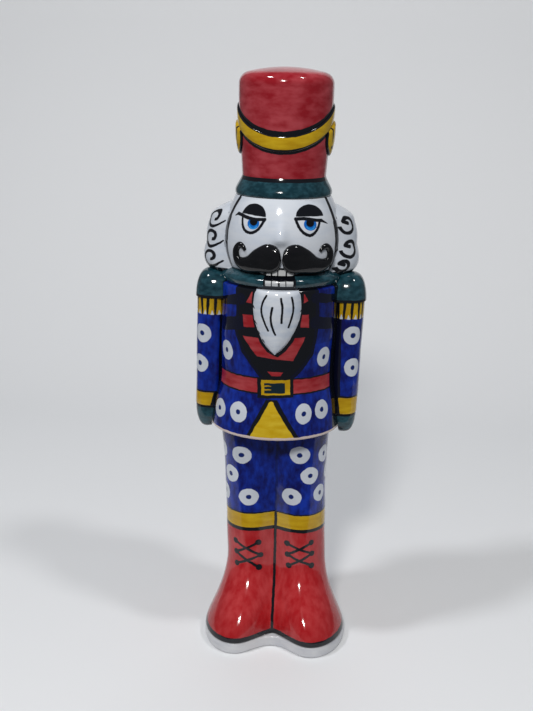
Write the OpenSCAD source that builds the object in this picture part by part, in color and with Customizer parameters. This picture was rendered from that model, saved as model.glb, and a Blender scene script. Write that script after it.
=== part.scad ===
// Glazed earthenware nutcracker figure, put together from hollow castings and pressed sprigs.
// Z is up, the figure faces -Y, and left and right are as seen from the front.
// The origin is on the underside of the sole, on the axis of the lathe-turned body.

/* [Castings] */
// Wall thickness of the hollow castings
wall = 4.5; // [3:0.5:5]
// Gap left for slip in each luted socket
lute = 0.2; // [0.1:0.05:0.4]
// Depth of each spigot in its socket
spigot_h = 4; // [2:0.5:5]
// Wall thickness of each spigot
spigot_t = 2; // [1.5:0.25:2.5]

/* [Sole] */
// Thickness of the sole plate
sole_t = 6; // [4:0.5:9]
// Half the width of the sole, at the balls of the feet
sole_half_w = 38; // [34:0.5:42]
// How far each toe lies from the middle
toe_x = 20; // [16:0.5:24]
// How far the toes reach in front of the axis
toe_reach = 36.5; // [30:0.5:44]
// How far the notch between the toes lies in front of the axis
notch_reach = 26; // [22:0.5:30]
// How far the heels reach behind the axis
heel_reach = 25; // [20:0.5:36]
// How far the balls of the feet lie in front of the axis
ball_reach = 8; // [0:0.5:12]
// Radius of the firing vent under each boot
vent_r = 5; // [3:0.25:5.5]

/* [Boots] */
// Height of the boots above the sole
boot_h = 58; // [50:1:70]
// Height over which the boots spread out sideways to the sole
flare_h = 39; // [30:1:50]
// Height over which the insteps slope down to the toes
instep_h = 38; // [28:1:46]
// How far the cleft between the toe caps lies in front of the axis
cleft_reach = 23; // [18:0.5:26]
// Radius of the hollow in each toe
toe_hollow_r = 9; // [6:0.5:10]

/* [Legs] */
// Height of the legs above the boots
leg_h = 58; // [45:1:75]
// Half the width of the two legs at the boot tops
leg_half_w = 26.8; // [24:0.2:30]
// Half the width of the two legs under the coat
leg_top_half_w = 29.5; // [27:0.5:31]
// Half the depth of the legs
leg_half_d = 16; // [14:0.5:20]
// Depth of the groove between the legs
leg_groove = 5; // [1:0.25:6]

/* [Coat] */
// Height of the coat from hem to shoulder
coat_h = 76.5; // [65:0.5:95]
// Radius of the coat at the chest
coat_r = 31; // [28:0.5:34]
// Radius of the coat at the belt
waist_r = 30.4; // [28:0.2:33]
// Radius of the coat at the hem
hem_r = 34; // [31:0.5:37]
// Height of the belt above the hem
belt_rise = 27.5; // [18:0.5:36]
// How far the hem hangs below the tops of the legs
hem_drop = 2.5; // [1:0.5:5]
// Radius of the rounded shoulder edge
shoulder_round = 1.5; // [1:0.5:6]
// Radius of the neck opening
neck_r = 14; // [11:0.5:16]

/* [Collar] */
// Height of the rolled collar
collar_h = 7; // [4:0.5:10]
// Radius of the collar at its fullest
collar_r = 31; // [29:0.5:33]

/* [Head] */
// Height of the head from collar to visor
head_h = 36.5; // [30:0.5:44]
// Radius of the head at the cheeks
head_r = 30; // [27:0.5:33]
// Radius of the head at the collar
chin_r = 26.5; // [24:0.5:29]
// Radius of the head at the visor
brow_r = 24; // [22:0.5:27]
// Height of the cheeks above the collar
cheek_rise = 13.5; // [8:0.5:20]
// Height of the nose tip above the collar
nose_rise = 19; // [15:0.5:24]
// Radius of the nose tip
nose_r = 4; // [3:0.1:5]
// How far the nose stands out from the face
nose_stand = 2.6; // [1:0.1:2.8]
// Length of the bridge above the nose tip
bridge_h = 11; // [6:0.5:12]

/* [Hair] */
// How far the hair stands out from the cheeks at the sides
hair_stand = 9.8; // [6:0.2:12]
// How far the hair stands out from the head at the back
hair_back = 4; // [2:0.2:7]
// Angle from the front at which the hair starts to swell
face_edge = 69; // [62:1:76]
// Depth to which the hair hangs below the underside of the head
hair_drop = 2; // [0:0.5:4]

/* [Moustache] */
// Height of the moustache's root above the collar
moustache_rise = 10; // [8:0.2:13]
// Thickness of the moustache at its fullest
moustache_t = 3.4; // [2.4:0.2:6]
// Half the width of the brushed part at its fullest
moustache_half_w = 7.2; // [5:0.2:7.4]
// How far each half reaches from the middle
moustache_reach = 22.8; // [19:0.2:24]

/* [Beard] */
// Length of the beard from the foot of the collar
beard_h = 32; // [24:0.2:40]
// Half the width of the beard at its fullest
beard_half_w = 12.2; // [10:0.2:15]
// How far the beard stands out from the chest
beard_t = 3.6; // [2:0.2:6]

/* [Arms] */
// How far the sleeves stand out from the coat
arm_stand = 12.3; // [9:0.1:15]
// Width of the sleeve under the epaulette
arm_w = 17; // [15:0.5:22]
// Depth of the sleeve under the epaulette, from front to back
arm_d = 22; // [16:0.5:26]
// Width of the sleeve at the cuff
cuff_w = 15.6; // [13:0.2:20]
// Depth of the sleeve at the cuff, from front to back
cuff_d = 16; // [12:0.5:22]
// Length of the sleeve from epaulette to cuff edge
sleeve_h = 58.5; // [46:0.5:68]
// Length of the hand below the cuff
hand_h = 13; // [9:0.5:16]
// Height of the epaulette
epaulette_h = 14; // [9:0.5:18]
// How far the epaulette stands out around the sleeve
epaulette_lap = 0.7; // [0.3:0.1:1.5]
// How far the epaulette runs in over the shoulder beyond the sleeve
epaulette_in = 5; // [0:0.5:8]
// How far the cuff edge stands out around the hand
cuff_lap = 0.8; // [0.3:0.1:1.5]

/* [Hat] */
// Height of the visor band
visor_h = 9.5; // [6:0.5:14]
// Radius of the visor at its lower edge
visor_r = 24.3; // [23:0.1:28]
// Height of the crown above the visor
crown_h = 52.5; // [42:0.5:64]
// Radius of the crown at its foot
band_r = 21; // [18:0.5:22]
// Radius of the crown at its fullest
crown_r = 23.5; // [21:0.5:27]
// Radius of the rounded edge of the crown's top
crown_round = 6; // [3:0.5:9]
// Rise of the crown's slightly domed top
crown_dome = 2.2; // [0.5:0.1:3]
// Bevel along the visor's edges
visor_edge = 1; // [0.4:0.1:1.5]

/* [Strap and plaques] */
// Width of the strap
strap_w = 7; // [4:0.5:9]
// How far the strap stands out from the crown
strap_t = 1; // [0.6:0.1:2]
// Height of the strap above the visor at the front
strap_front = 16.5; // [11:0.5:24]
// Height of the strap above the visor at the sides and back
strap_side = 32; // [25:0.5:38]
// Height of each side plaque
plaque_h = 19; // [14:0.5:22]
// Width of each side plaque
plaque_w = 19; // [10:0.5:22]
// How far the middle of each plaque stands out from the crown
plaque_t = 2.4; // [1.2:0.1:4]
// How far the edge of each plaque stands out from the crown
plaque_edge = 0.5; // [0.3:0.1:1]
// Height of the plaque's middle above the visor
plaque_rise = 19.5; // [14:0.5:26]

/* [Hidden] */
$fn = 96;
// How far each cutting tool runs past the face it opens
cut = 1;
// Heights of the seats, from the ground up
boot_z = sole_t;
leg_z = boot_z + boot_h;
floor_z = leg_z + leg_h;
hem_z = floor_z - hem_drop;
coat_top = hem_z + coat_h;
head_z = coat_top + collar_h;
visor_z = head_z + head_h;
crown_z = visor_z + visor_h;
hat_top = crown_z + crown_h;
epaulette_top = head_z - hair_drop;
sleeve_top = epaulette_top - epaulette_h;
cuff_z = sleeve_top - sleeve_h;
// Each leg is cast round one bore, whose axis is leg_x from the middle
leg_x = leg_half_w / 2;
leg_bore_r = leg_x - wall;
leg_spigot_r = leg_bore_r + spigot_t;
// Bores of the hat and head that the spigots enter
head_bore_r = brow_r - wall;
visor_bore_r = band_r - wall;
// Reach of the pieces that stand out from the body
arm_x = coat_r + arm_stand - arm_w / 2;
hair_reach = head_r + hair_stand;
hair_rear = head_r + hair_back;
// Angle from the front at which the hair reaches furthest
hair_side = 105;
// Bends of the shapes: how steep the cleft is, how low the boots flare, how soon the skirt draws in,
// how full the hair's front is and how square the sleeves are
cleft_bend = 0.7;
flare_bend = 0.67;
skirt_ease = 0.35;
hair_bend = 0.6;
sleeve_square = 0.85;

function mix(a, b, t) = a + (b - a) * t;
function wave(t) = (1 - cos(180 * t)) / 2;

// Smooth curve through hand-placed points, with n steps between each pair
function spline(p, n) = concat([for (i = [0:len(p) - 2], k = [0:n - 1])
    let (a = p[max(i - 1, 0)], b = p[i], c = p[i + 1], d = p[min(i + 2, len(p) - 1)], t = k / n)
    (2 * b + (c - a) * t + (2 * a - 5 * b + 4 * c - d) * t ^ 2 + (3 * b - a - 3 * c + d) * t ^ 3) / 2],
    [p[len(p) - 1]]);

// Half outline of a pair of lobes, from the middle of the front round to the middle of the back;
// a bend below 1 makes the front valley between the lobes steeper
function half_lobes(mid, lobe, side, back, mid_back, bend = 1) = concat(
    [for (t = [0:0.2:0.99]) [mix(0, lobe[0], t), mix(mid, lobe[1], wave(t) ^ bend)]],
    [for (a = [0:12:89]) [mix(lobe[0], side[0], sin(a)), mix(side[1], lobe[1], cos(a))]],
    [for (a = [0:10:89]) [mix(back[0], side[0], cos(a)), mix(side[1], back[1], sin(a))]],
    [for (t = [0:0.25:1]) [mix(back[0], 0, t), mix(back[1], mid_back, wave(t))]]);

function leg_outline(w) = half_lobes(leg_groove - leg_half_d, [w / 2, -leg_half_d], [w, 0],
    [w / 2, leg_half_d], leg_half_d - leg_groove);
function foot_outline(mid, bend) = half_lobes(mid, [toe_x, -toe_reach], [sole_half_w, -ball_reach],
    [leg_x, heel_reach], heel_reach - leg_groove, bend);

function ellipse(a, b, n) = [for (i = [0:n - 1]) [a * cos(360 * i / n), b * sin(360 * i / n)]];
function at_height(ring, z) = [for (q = ring) [q[0], q[1], z]];

// Solid skinned over a stack of rings that have the same number of points
module loft(rings) {
    n = len(rings[0]);
    m = len(rings);
    walls = [for (j = [0:m - 2], i = [0:n - 1]) let (k = (i + 1) % n)
        each [[j * n + i, j * n + n + i, j * n + k], [j * n + k, j * n + n + i, j * n + n + k]]];
    caps = [[for (i = [0:n - 1]) i], [for (i = [n - 1:-1:0]) (m - 1) * n + i]];
    polyhedron([for (r = rings) each r], concat(walls, caps), convexity = 6);
}

// Solid of revolution under a profile of [radius, height] points
module lathe(profile) {
    rotate_extrude() polygon(concat([[0, profile[0][1]]], profile, [[0, profile[len(profile) - 1][1]]]));
}

function inset(profile) = [for (q = profile) [q[0] - wall, q[1]]];

module tube(outer_r, inner_r, h) {
    difference() {
        cylinder(r = outer_r, h = h);
        translate([0, 0, -cut]) cylinder(r = inner_r, h = h + 2 * cut);
    }
}

// Each boot is located by a low ring on the plate, round the vent that lets steam out in firing
module sole() {
    outline = foot_outline(-notch_reach, 1);
    color("whitesmoke") difference() {
        union() {
            linear_extrude(sole_t) union() {
                polygon(outline);
                mirror([1, 0]) polygon(outline);
            }
            for (x = [-leg_x, leg_x])
                translate([x, 0, sole_t - cut])
                    tube(leg_bore_r - lute, leg_bore_r - lute - spigot_t, spigot_h + cut);
        }
        for (x = [-leg_x, leg_x])
            translate([x, 0, -cut]) cylinder(r = vent_r, h = sole_t + 2 * cut);
    }
}

// Shares of the sideways spread and of the toes' reach at height h above the sole
function flare(h) = wave(1 - min(h / flare_h, 1) ^ flare_bend);
function instep(h) = wave(1 - min(h / instep_h, 1));

module boot_right() {
    steps = 16;
    top = leg_outline(leg_half_w);
    foot = foot_outline(-cleft_reach, cleft_bend);
    rings = [for (i = [0:steps]) let (h = boot_h * i / steps)
        at_height([for (k = [0:len(top) - 1])
            [mix(top[k][0], foot[k][0], flare(h)), mix(top[k][1], foot[k][1], instep(h))]], boot_z + h)];
    color("firebrick") difference() {
        loft(rings);
        translate([leg_x, 0, boot_z - cut]) cylinder(r = leg_bore_r, h = boot_h + 2 * cut);
        translate([leg_x, 0, leg_z - spigot_h]) cylinder(r = leg_spigot_r + lute, h = spigot_h + cut);
        translate([leg_x, -ball_reach - toe_hollow_r / 2, boot_z + toe_hollow_r]) sphere(r = toe_hollow_r);
    }
}

module boot_left() { mirror([1, 0, 0]) boot_right(); }

// The leg widens towards the coat; its spigots enter the boot below and the coat's floor above
module leg_right() {
    steps = 6;
    rings = [for (i = [0:steps]) let (t = i / steps)
        at_height(leg_outline(mix(leg_half_w, leg_top_half_w, t ^ 3)), leg_z + leg_h * t)];
    color("mediumblue") difference() {
        union() {
            loft(rings);
            translate([leg_x, 0, leg_z - spigot_h]) cylinder(r = leg_spigot_r, h = spigot_h + cut);
            translate([leg_x, 0, floor_z - cut]) cylinder(r = leg_spigot_r, h = wall + cut);
        }
        translate([leg_x, 0, leg_z - spigot_h - cut])
            cylinder(r = leg_bore_r, h = leg_h + spigot_h + wall + 2 * cut);
    }
}

module leg_left() { mirror([1, 0, 0]) leg_right(); }

// Coat profile from the hem to the rounded shoulder
function coat_profile() = concat(
    spline([[hem_r, hem_z], [mix(hem_r, waist_r, skirt_ease), hem_z + belt_rise / 2],
        [waist_r, hem_z + belt_rise], [coat_r, mix(hem_z + belt_rise, coat_top, 0.5)],
        [coat_r, coat_top - shoulder_round]], 3),
    [for (a = [30:30:90])
        [coat_r - shoulder_round * (1 - cos(a)), coat_top - shoulder_round * (1 - sin(a))]]);

module coat_form() { lathe(coat_profile()); }

module coat() {
    inner = [for (q = inset(coat_profile())) [q[0], min(max(q[1], floor_z + wall), coat_top - wall)]];
    color("navy") difference() {
        coat_form();
        lathe(inner);
        translate([0, 0, hem_z - cut]) cylinder(r = hem_r - wall / 2, h = hem_drop + cut);
        for (x = [-leg_x, leg_x])
            translate([x, 0, floor_z - cut]) cylinder(r = leg_spigot_r + lute, h = wall + 2 * cut);
        translate([0, 0, coat_top - wall - cut]) cylinder(r = neck_r, h = wall + 2 * cut);
    }
}

// Rolled collar: a half-round bead between the coat and the head
module collar_form() {
    seat_r = coat_r - shoulder_round;
    lathe([for (t = [0:0.125:1])
        [mix(mix(seat_r, chin_r, t), collar_r, sin(180 * t)), mix(coat_top, head_z, t)]]);
}

module collar() {
    color("darkslategray") difference() {
        collar_form();
        translate([0, 0, coat_top - cut]) cylinder(r = neck_r, h = collar_h + 2 * cut);
    }
}

// Head radius at height h above the collar: a barrel, fullest at the cheeks
function head_radius(h) = h < cheek_rise
    ? mix(head_r, chin_r, (1 - h / cheek_rise) ^ 2)
    : mix(head_r, brow_r, ((h - cheek_rise) / (head_h - cheek_rise)) ^ 2);
function head_profile() = [for (i = [0:12]) let (h = head_h * i / 12) [head_radius(h), head_z + h]];

module head_form() { lathe(head_profile()); }

// The head's spigot runs down through the collar and locks both to the coat
module head() {
    inner = [for (q = inset(head_profile())) [q[0], max(q[1], head_z + wall)]];
    tip_y = nose_r - nose_stand - head_radius(nose_rise);
    bridge_y = nose_r / 2 - head_radius(nose_rise + bridge_h);
    color("ivory") difference() {
        union() {
            head_form();
            hull() {
                translate([0, tip_y, head_z + nose_rise]) sphere(r = nose_r, $fn = 24);
                translate([0, bridge_y, head_z + nose_rise + bridge_h]) sphere(r = nose_r / 2, $fn = 24);
            }
            translate([0, 0, coat_top - wall])
                cylinder(r = neck_r - lute, h = collar_h + wall + cut);
        }
        lathe(concat(inner, [[head_bore_r, visor_z + cut]]));
        translate([0, 0, coat_top - wall - cut])
            cylinder(r = neck_r - lute - spigot_t, h = collar_h + 2 * wall + 2 * cut);
    }
}

// Reach of the hair at angle a from the front
function hair_plan(a) = a < hair_side
    ? mix(chin_r, hair_reach, sin(90 * (a - face_edge) / (hair_side - face_edge)) ^ hair_bend)
    : mix(hair_reach, hair_rear, wave((a - hair_side) / (180 - hair_side)));

// Hair outline as [share of its length from the shoulder, share of its reach]
hair_shape = [[0, 0.97], [0.15, 1], [0.45, 0.97], [0.7, 0.935], [0.83, 0.85], [1, 0.57]];

module hair_right() {
    core = head_r / 2;
    length = visor_z - epaulette_top - visor_edge;
    rings = [for (q = spline(hair_shape, 3))
        at_height(concat(
            [for (a = [face_edge:(180 - face_edge) / 24:180.01]) hair_plan(a) * q[1] * [sin(a), -cos(a)]],
            [[0, core], [core * sin(face_edge), -core * cos(face_edge)]]), epaulette_top + length * q[0])];
    color("white") difference() {
        loft(rings);
        head_form();
        collar_form();
    }
}

module hair_left() { mirror([1, 0, 0]) hair_right(); }

// Centre line of the right half of the moustache, as [share of its reach, rise as a share of its reach,
// share of half width]
moustache_path = [[0.028, -0.005, 0.2], [0.055, -0.01, 0.5], [0.115, -0.024, 0.83], [0.265, -0.065, 1],
    [0.47, -0.13, 0.86], [0.67, -0.222, 0.62], [0.82, -0.24, 0.48], [0.94, -0.185, 0.36],
    [0.995, -0.075, 0.29], [0.995, 0.06, 0.26], [0.93, 0.162, 0.22], [0.85, 0.14, 0.18],
    [0.795, 0.06, 0.1]];

function on_head(x, h) = [x, -sqrt(max(head_radius(h) ^ 2 - x ^ 2, 1)), head_z + h];

module moustache_right() {
    path = spline(moustache_path, 3);
    last = len(path) - 1;
    places = [for (q = path) on_head(moustache_reach * q[0], moustache_rise + moustache_reach * q[1])];
    rings = [for (i = [0:last]) let (
            place = places[i],
            along = places[min(i + 1, last)] - places[max(i - 1, 0)],
            out = [place[0], place[1], 0] / norm([place[0], place[1]]),
            across = cross(along, out) / norm(cross(along, out)),
            half_w = path[i][2] * moustache_half_w)
        [for (a = [0:30:359]) place + across * half_w * cos(a) + out * min(half_w, moustache_t) * sin(a)]];
    color("dimgray") difference() {
        loft(rings);
        head_form();
    }
}

module moustache_left() { mirror([1, 0, 0]) moustache_right(); }

// Beard outline as [share of its length from the collar, share of half width, share of thickness]
beard_shape = [[0, 0.95, 0.6], [0.06, 0.97, 0.9], [0.33, 1, 1.1], [0.56, 0.88, 1], [0.8, 0.6, 0.9],
    [0.94, 0.3, 0.7], [1, 0.06, 0.4]];

module beard() {
    rings = [for (q = spline([for (i = [len(beard_shape) - 1:-1:0]) beard_shape[i]], 2))
        at_height([for (p = ellipse(q[1] * beard_half_w, wall + beard_t * q[2], 28))
            p - [0, coat_r - wall]], coat_top - beard_h * q[0])];
    color("white") difference() {
        loft(rings);
        coat_form();
    }
}

// Rounded sleeve section of width w and depth d, a little squarer than an ellipse
function sleeve_section(w, d) = [for (a = [0:12:359]) let (c = cos(a), s = sin(a))
    [w / 2 * sign(c) * abs(c) ^ sleeve_square, d / 2 * sign(s) * abs(s) ^ sleeve_square]];

// Dome over a section, as [share of the section, share of the dome's height]
dome_shape = concat([for (a = [0:10:80]) [cos(a) ^ 0.6, sin(a)]], [[0.2, 1]]);

// Keeps the outside of an arm piece: what lies clear of the coat and collar
module beside_coat() {
    difference() {
        translate([arm_x, 0, 0]) children();
        coat_form();
        collar_form();
    }
}

module epaulette_right() {
    w = arm_w + 2 * epaulette_lap;
    stretch = 1 + 2 * epaulette_in / w;
    section = [for (q = sleeve_section(w, arm_d + 2 * epaulette_lap))
        [q[0] * (q[0] < 0 ? stretch : 1), q[1]]];
    color("darkslategray") beside_coat()
        loft([for (q = dome_shape) at_height(section * q[0], sleeve_top + epaulette_h * q[1])]);
}

module epaulette_left() { mirror([1, 0, 0]) epaulette_right(); }

module arm_right() {
    color("mediumblue") beside_coat()
        loft([at_height(sleeve_section(cuff_w, cuff_d), cuff_z),
            at_height(sleeve_section(arm_w, arm_d), sleeve_top)]);
}

module arm_left() { mirror([1, 0, 0]) arm_right(); }

module hand_right() {
    section = sleeve_section(cuff_w - 2 * cuff_lap, cuff_d - 2 * cuff_lap);
    last = len(dome_shape) - 1;
    color("darkslategray") beside_coat()
        loft([for (i = [last:-1:0]) let (q = dome_shape[i])
            at_height(section * q[0], cuff_z - hand_h * q[1])]);
}

module hand_left() { mirror([1, 0, 0]) hand_right(); }

// Visor band: a short cone that flares over the brow
module hat_visor() {
    color("darkslategray") difference() {
        union() {
            lathe([[visor_r - visor_edge, visor_z], [visor_r, visor_z + visor_edge],
                [band_r + visor_edge / 2, crown_z - visor_edge], [band_r, crown_z]]);
            translate([0, 0, visor_z - spigot_h]) cylinder(r = head_bore_r - lute, h = spigot_h + cut);
        }
        translate([0, 0, visor_z - spigot_h - cut])
            cylinder(r = visor_bore_r, h = visor_h + spigot_h + 2 * cut);
    }
}

// Crown profile, grown outwards by lap, up to a rounded and slightly domed top
function crown_profile(lap) = concat(
    spline([[band_r + lap, crown_z], [mix(band_r, crown_r, 0.25) + lap, crown_z + 0.17 * crown_h],
        [mix(band_r, crown_r, 0.9) + lap, crown_z + 0.6 * crown_h],
        [crown_r + lap, hat_top - crown_round - crown_dome]], 4),
    [for (a = [15:15:90])
        [crown_r + lap - crown_round * (1 - cos(a)), hat_top - crown_dome - crown_round * (1 - sin(a))]],
    [for (t = [0.85:-0.2:0.05]) [(crown_r - crown_round) * t, hat_top - crown_dome * t ^ 2]]);

function crown_radius(z) = lookup(z, [for (q = crown_profile(0)) [q[1], q[0]]]);

module crown_form(lap) { lathe(crown_profile(lap)); }

module hat_crown() {
    roof_z = hat_top - crown_dome - wall;
    inner = [for (q = inset(crown_profile(0))) [q[0], min(max(q[1], crown_z + wall), roof_z)]];
    color("firebrick") difference() {
        union() {
            crown_form(0);
            translate([0, 0, crown_z - spigot_h]) cylinder(r = visor_bore_r - lute, h = spigot_h + cut);
        }
        lathe([for (q = inner) if (q[0] > 0) q]);
        translate([0, 0, crown_z - spigot_h - cut])
            cylinder(r = visor_bore_r - lute - spigot_t, h = spigot_h + wall + 2 * cut);
    }
}

// The strap dips across the front of the crown and runs level round the back; it stands out by lap
module strap_form(lap) {
    span = 2 * visor_r;
    tilt = atan((strap_side - strap_front) / crown_r);
    intersection() {
        crown_form(lap);
        union() {
            translate([0, 0, crown_z + strap_side]) rotate([tilt, 0, 0])
                translate([-span, -2 * span, -strap_w / 2]) cube([2 * span, 2 * span, strap_w]);
            translate([-span, 0, crown_z + strap_side - strap_w / 2]) cube([2 * span, span, strap_w]);
        }
    }
}

module hat_strap() {
    color("goldenrod") difference() {
        strap_form(strap_t);
        crown_form(0);
    }
}

// Oval ring on the side of the crown, a share of the plaque in size, that stands out from the crown
function plaque_ring(share, stand) = [for (i = [0:31]) let (
        a = 360 * i / 32,
        turn = share * plaque_w / 2 / crown_r * 180 / PI * sin(a),
        z = crown_z + plaque_rise + share * plaque_h / 2 * cos(a),
        r = crown_radius(z) + stand)
    [r * cos(turn), -r * sin(turn), z]];

// Domed oval plaque, curved to the side of the crown below the strap
module hat_plaque_right() {
    tip = 0.04;
    dome = [for (a = [0:15:75]) plaque_ring(cos(a), mix(plaque_edge, plaque_t, sin(a)))];
    color("goldenrod") difference() {
        loft(concat([plaque_ring(tip, -wall), plaque_ring(1, -wall)], dome, [plaque_ring(tip, plaque_t)]));
        crown_form(0);
        strap_form(plaque_t + cut);
    }
}

module hat_plaque_left() { mirror([1, 0, 0]) hat_plaque_right(); }

sole();
boot_left();
boot_right();
leg_left();
leg_right();
coat();
collar();
epaulette_left();
epaulette_right();
arm_left();
arm_right();
hand_left();
hand_right();
head();
hair_left();
hair_right();
moustache_left();
moustache_right();
beard();
hat_visor();
hat_crown();
hat_strap();
hat_plaque_left();
hat_plaque_right();
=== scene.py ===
import math
from functools import partial
from types import SimpleNamespace

import bmesh
import bpy
from mathutils import Matrix, Vector
from mathutils.geometry import tessellate_polygon


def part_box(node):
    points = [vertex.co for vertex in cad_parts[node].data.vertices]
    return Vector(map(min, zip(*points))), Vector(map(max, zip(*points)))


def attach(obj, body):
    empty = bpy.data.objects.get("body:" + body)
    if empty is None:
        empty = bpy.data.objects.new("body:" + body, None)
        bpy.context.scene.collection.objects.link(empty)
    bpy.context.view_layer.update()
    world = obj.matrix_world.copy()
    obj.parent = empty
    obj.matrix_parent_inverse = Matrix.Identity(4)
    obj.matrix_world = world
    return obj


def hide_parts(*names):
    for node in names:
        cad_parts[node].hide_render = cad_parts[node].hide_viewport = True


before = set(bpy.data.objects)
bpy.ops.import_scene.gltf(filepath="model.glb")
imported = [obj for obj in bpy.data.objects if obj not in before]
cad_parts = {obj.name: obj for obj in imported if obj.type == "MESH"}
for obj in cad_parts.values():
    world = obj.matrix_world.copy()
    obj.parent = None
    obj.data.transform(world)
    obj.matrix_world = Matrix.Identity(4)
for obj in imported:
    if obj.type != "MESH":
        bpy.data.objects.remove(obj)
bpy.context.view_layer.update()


# Sole: one white plate under both boots, cut from a slab of the same clay and rounded along its edge.
# A vent under each boot let the steam out of the hollow legs in the kiln. It stays white under clear glaze.
mm_per_m = 1000


def box_mm(node):
    low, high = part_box(node)
    return low * mm_per_m, high * mm_per_m


def mix(a, b, t):
    return a + (b - a) * t


def wave(t):
    """Smooth rise from 0 to 1."""
    return (1 - math.cos(math.pi * t)) / 2


def steps_to(end, count):
    """Even steps from 0 to the end, both counted in."""
    return [end * i / count for i in range(count + 1)]


def full_turn(count):
    return [math.tau * i / count for i in range(count)]


def half_lobes(mid, lobe, side, back, mid_back, bend=1.0, steps=16):
    """Half outline of a pair of feet or legs, in mm, from the middle of the front round to the back.

    A bend below 1 makes the valley between the two fronts steeper."""
    shares = [i / steps for i in range(steps)]
    turns = [(math.sin(t * math.pi / 2), math.cos(t * math.pi / 2)) for t in shares]
    front = [(mix(0, lobe[0], t), mix(mid, lobe[1], wave(t) ** bend)) for t in shares]
    toe = [(mix(lobe[0], side[0], s), mix(side[1], lobe[1], c)) for s, c in turns]
    heel = [(mix(back[0], side[0], c), mix(side[1], back[1], s)) for s, c in turns]
    rear = [(mix(back[0], 0, t), mix(back[1], mid_back, wave(t))) for t in shares + [1]]
    return front + toe + heel + rear


def both_halves(half):
    return half + [(-x, y) for x, y in reversed(half[1:-1])]


def grow(outline, gap):
    """The closed outline moved outwards by gap, square to its edge."""
    moved = []
    for i, (x, y) in enumerate(outline):
        along = (Vector(outline[(i + 1) % len(outline)]) - Vector(outline[i - 1])).normalized()
        moved.append((x + gap * along.y, y - gap * along.x))
    return moved


def rolled(low, high, low_round, high_round, steps=6):
    """Heights up an edge and how far each lies in from the side, rounded at its foot and its top."""
    turns = steps_to(math.pi / 2, steps)
    foot = [(low + low_round * (1 - math.cos(a)), low_round * (1 - math.sin(a))) for a in turns]
    top = [(high - high_round * (1 - math.cos(a)), high_round * (1 - math.sin(a))) for a in reversed(turns)]
    return foot + top


def walls(rings, capped=True, loop=False):
    """Points and faces of a skin over a stack of rings; a loop joins the last ring to the first."""
    n = len(rings[0])
    last = len(rings) - 1
    spans = [(j, j + 1) for j in range(last)]
    if loop:
        spans.append((last, 0))
    faces = [(a * n + i, a * n + (i + 1) % n, b * n + (i + 1) % n, b * n + i)
             for a, b in spans for i in range(n)]
    if capped and not loop:
        faces += [tuple(reversed(range(n))), tuple(range(last * n, (last + 1) * n))]
    return [p for ring in rings for p in ring], faces


# The set of the figure, as its castings were luted by hand: sideways shift in mm at each height
stance = [(0, 0.4), (40, 0.2), (64, -0.6), (92, -1.4), (121, -2.0), (150, -1.3), (190, -0.5), (240, -0.3),
          (302, 0)]


def lean(z):
    for (low, start), (high, end) in zip(stance, stance[1:]):
        if z <= high:
            return mix(start, end, wave(max(z - low, 0) / (high - low)))
    return stance[-1][1]


def dress(node, points, faces, glaze, slot, sharp=50, weld=1e-6):
    """Sets a glazed piece, given by points in mm, where the node of that name stands."""
    mesh = bpy.data.meshes.new(node + "_glazed")
    mesh.from_pydata([Vector((x + lean(z), y, z)) / mm_per_m for x, y, z in points], [], faces)
    clay = bmesh.new()
    clay.from_mesh(mesh)
    bmesh.ops.remove_doubles(clay, verts=clay.verts, dist=weld)
    bmesh.ops.recalc_face_normals(clay, faces=clay.faces)
    clay.to_mesh(mesh)
    clay.free()
    mesh.polygons.foreach_set("use_smooth", [True] * len(mesh.polygons))
    mesh.set_sharp_from_angle(angle=math.radians(sharp))
    mesh.materials.append(glaze.material)
    piece = bpy.data.objects.new(node + "_glazed", mesh)
    bpy.context.scene.collection.objects.link(piece)
    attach(piece, "root")
    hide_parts(node)


def feed(tree, socket, value):
    if isinstance(value, bpy.types.NodeSocket):
        tree.links.new(value, socket)
    else:
        socket.default_value = value


def feed_all(tree, node, values):
    for label, value in values.items():
        feed(tree, node.inputs[label], value)
    return node.outputs


def add_node(tree, kind, *values, **settings):
    """A new shader node with its settings, and with its first inputs fed in their order."""
    node = tree.nodes.new("ShaderNode" + kind)
    for setting, value in settings.items():
        setattr(node, setting, value)
    for socket, value in zip(node.inputs, values):
        feed(tree, socket, value)
    return node.outputs


def reckon(tree, operation, *values, clamp=False):
    return add_node(tree, "Math", *values, operation=operation, use_clamp=clamp)[0]


def steer(tree, operation, *values):
    found = add_node(tree, "VectorMath", *values, operation=operation)
    return found["Value" if operation in ("DOT_PRODUCT", "LENGTH") else "Vector"]


def new_group(name, inputs, outputs):
    """A new shader group: its tree, what it is given, its sums of numbers and of arrows, and its giver."""
    tree = bpy.data.node_groups.new(name, "ShaderNodeTree")
    for way, sockets in (("INPUT", inputs), ("OUTPUT", outputs)):
        for label, kind in sockets.items():
            tree.interface.new_socket(label, in_out=way, socket_type="NodeSocket" + kind)
    given = tree.nodes.new("NodeGroupInput").outputs
    made = tree.nodes.new("NodeGroupOutput").inputs

    def give(label, value):
        feed(tree, made[label], value)

    return tree, given, partial(reckon, tree), partial(steer, tree), give


def use(tree, group, **values):
    node = tree.nodes.new("ShaderNodeGroup")
    node.node_tree = group
    return feed_all(tree, node, values)


def spot_mm(tree):
    return steer(tree, "MULTIPLY", add_node(tree, "TexCoord")["Object"], (mm_per_m, mm_per_m, mm_per_m))


def cloud(tree, place, scale, detail):
    noise = tree.nodes.new("ShaderNodeTexNoise")
    return feed_all(tree, noise, {"Vector": place, "Scale": scale, "Detail": detail})


def blend(tree, share, under, over):
    """One colour over another. A Mix node's colour sockets go by number, since others share their names."""
    node = tree.nodes.new("ShaderNodeMix")
    node.data_type = "RGBA"
    for index, value in ((0, share), (6, under), (7, over)):
        feed(tree, node.inputs[index], value)
    return node.outputs[2]


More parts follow.
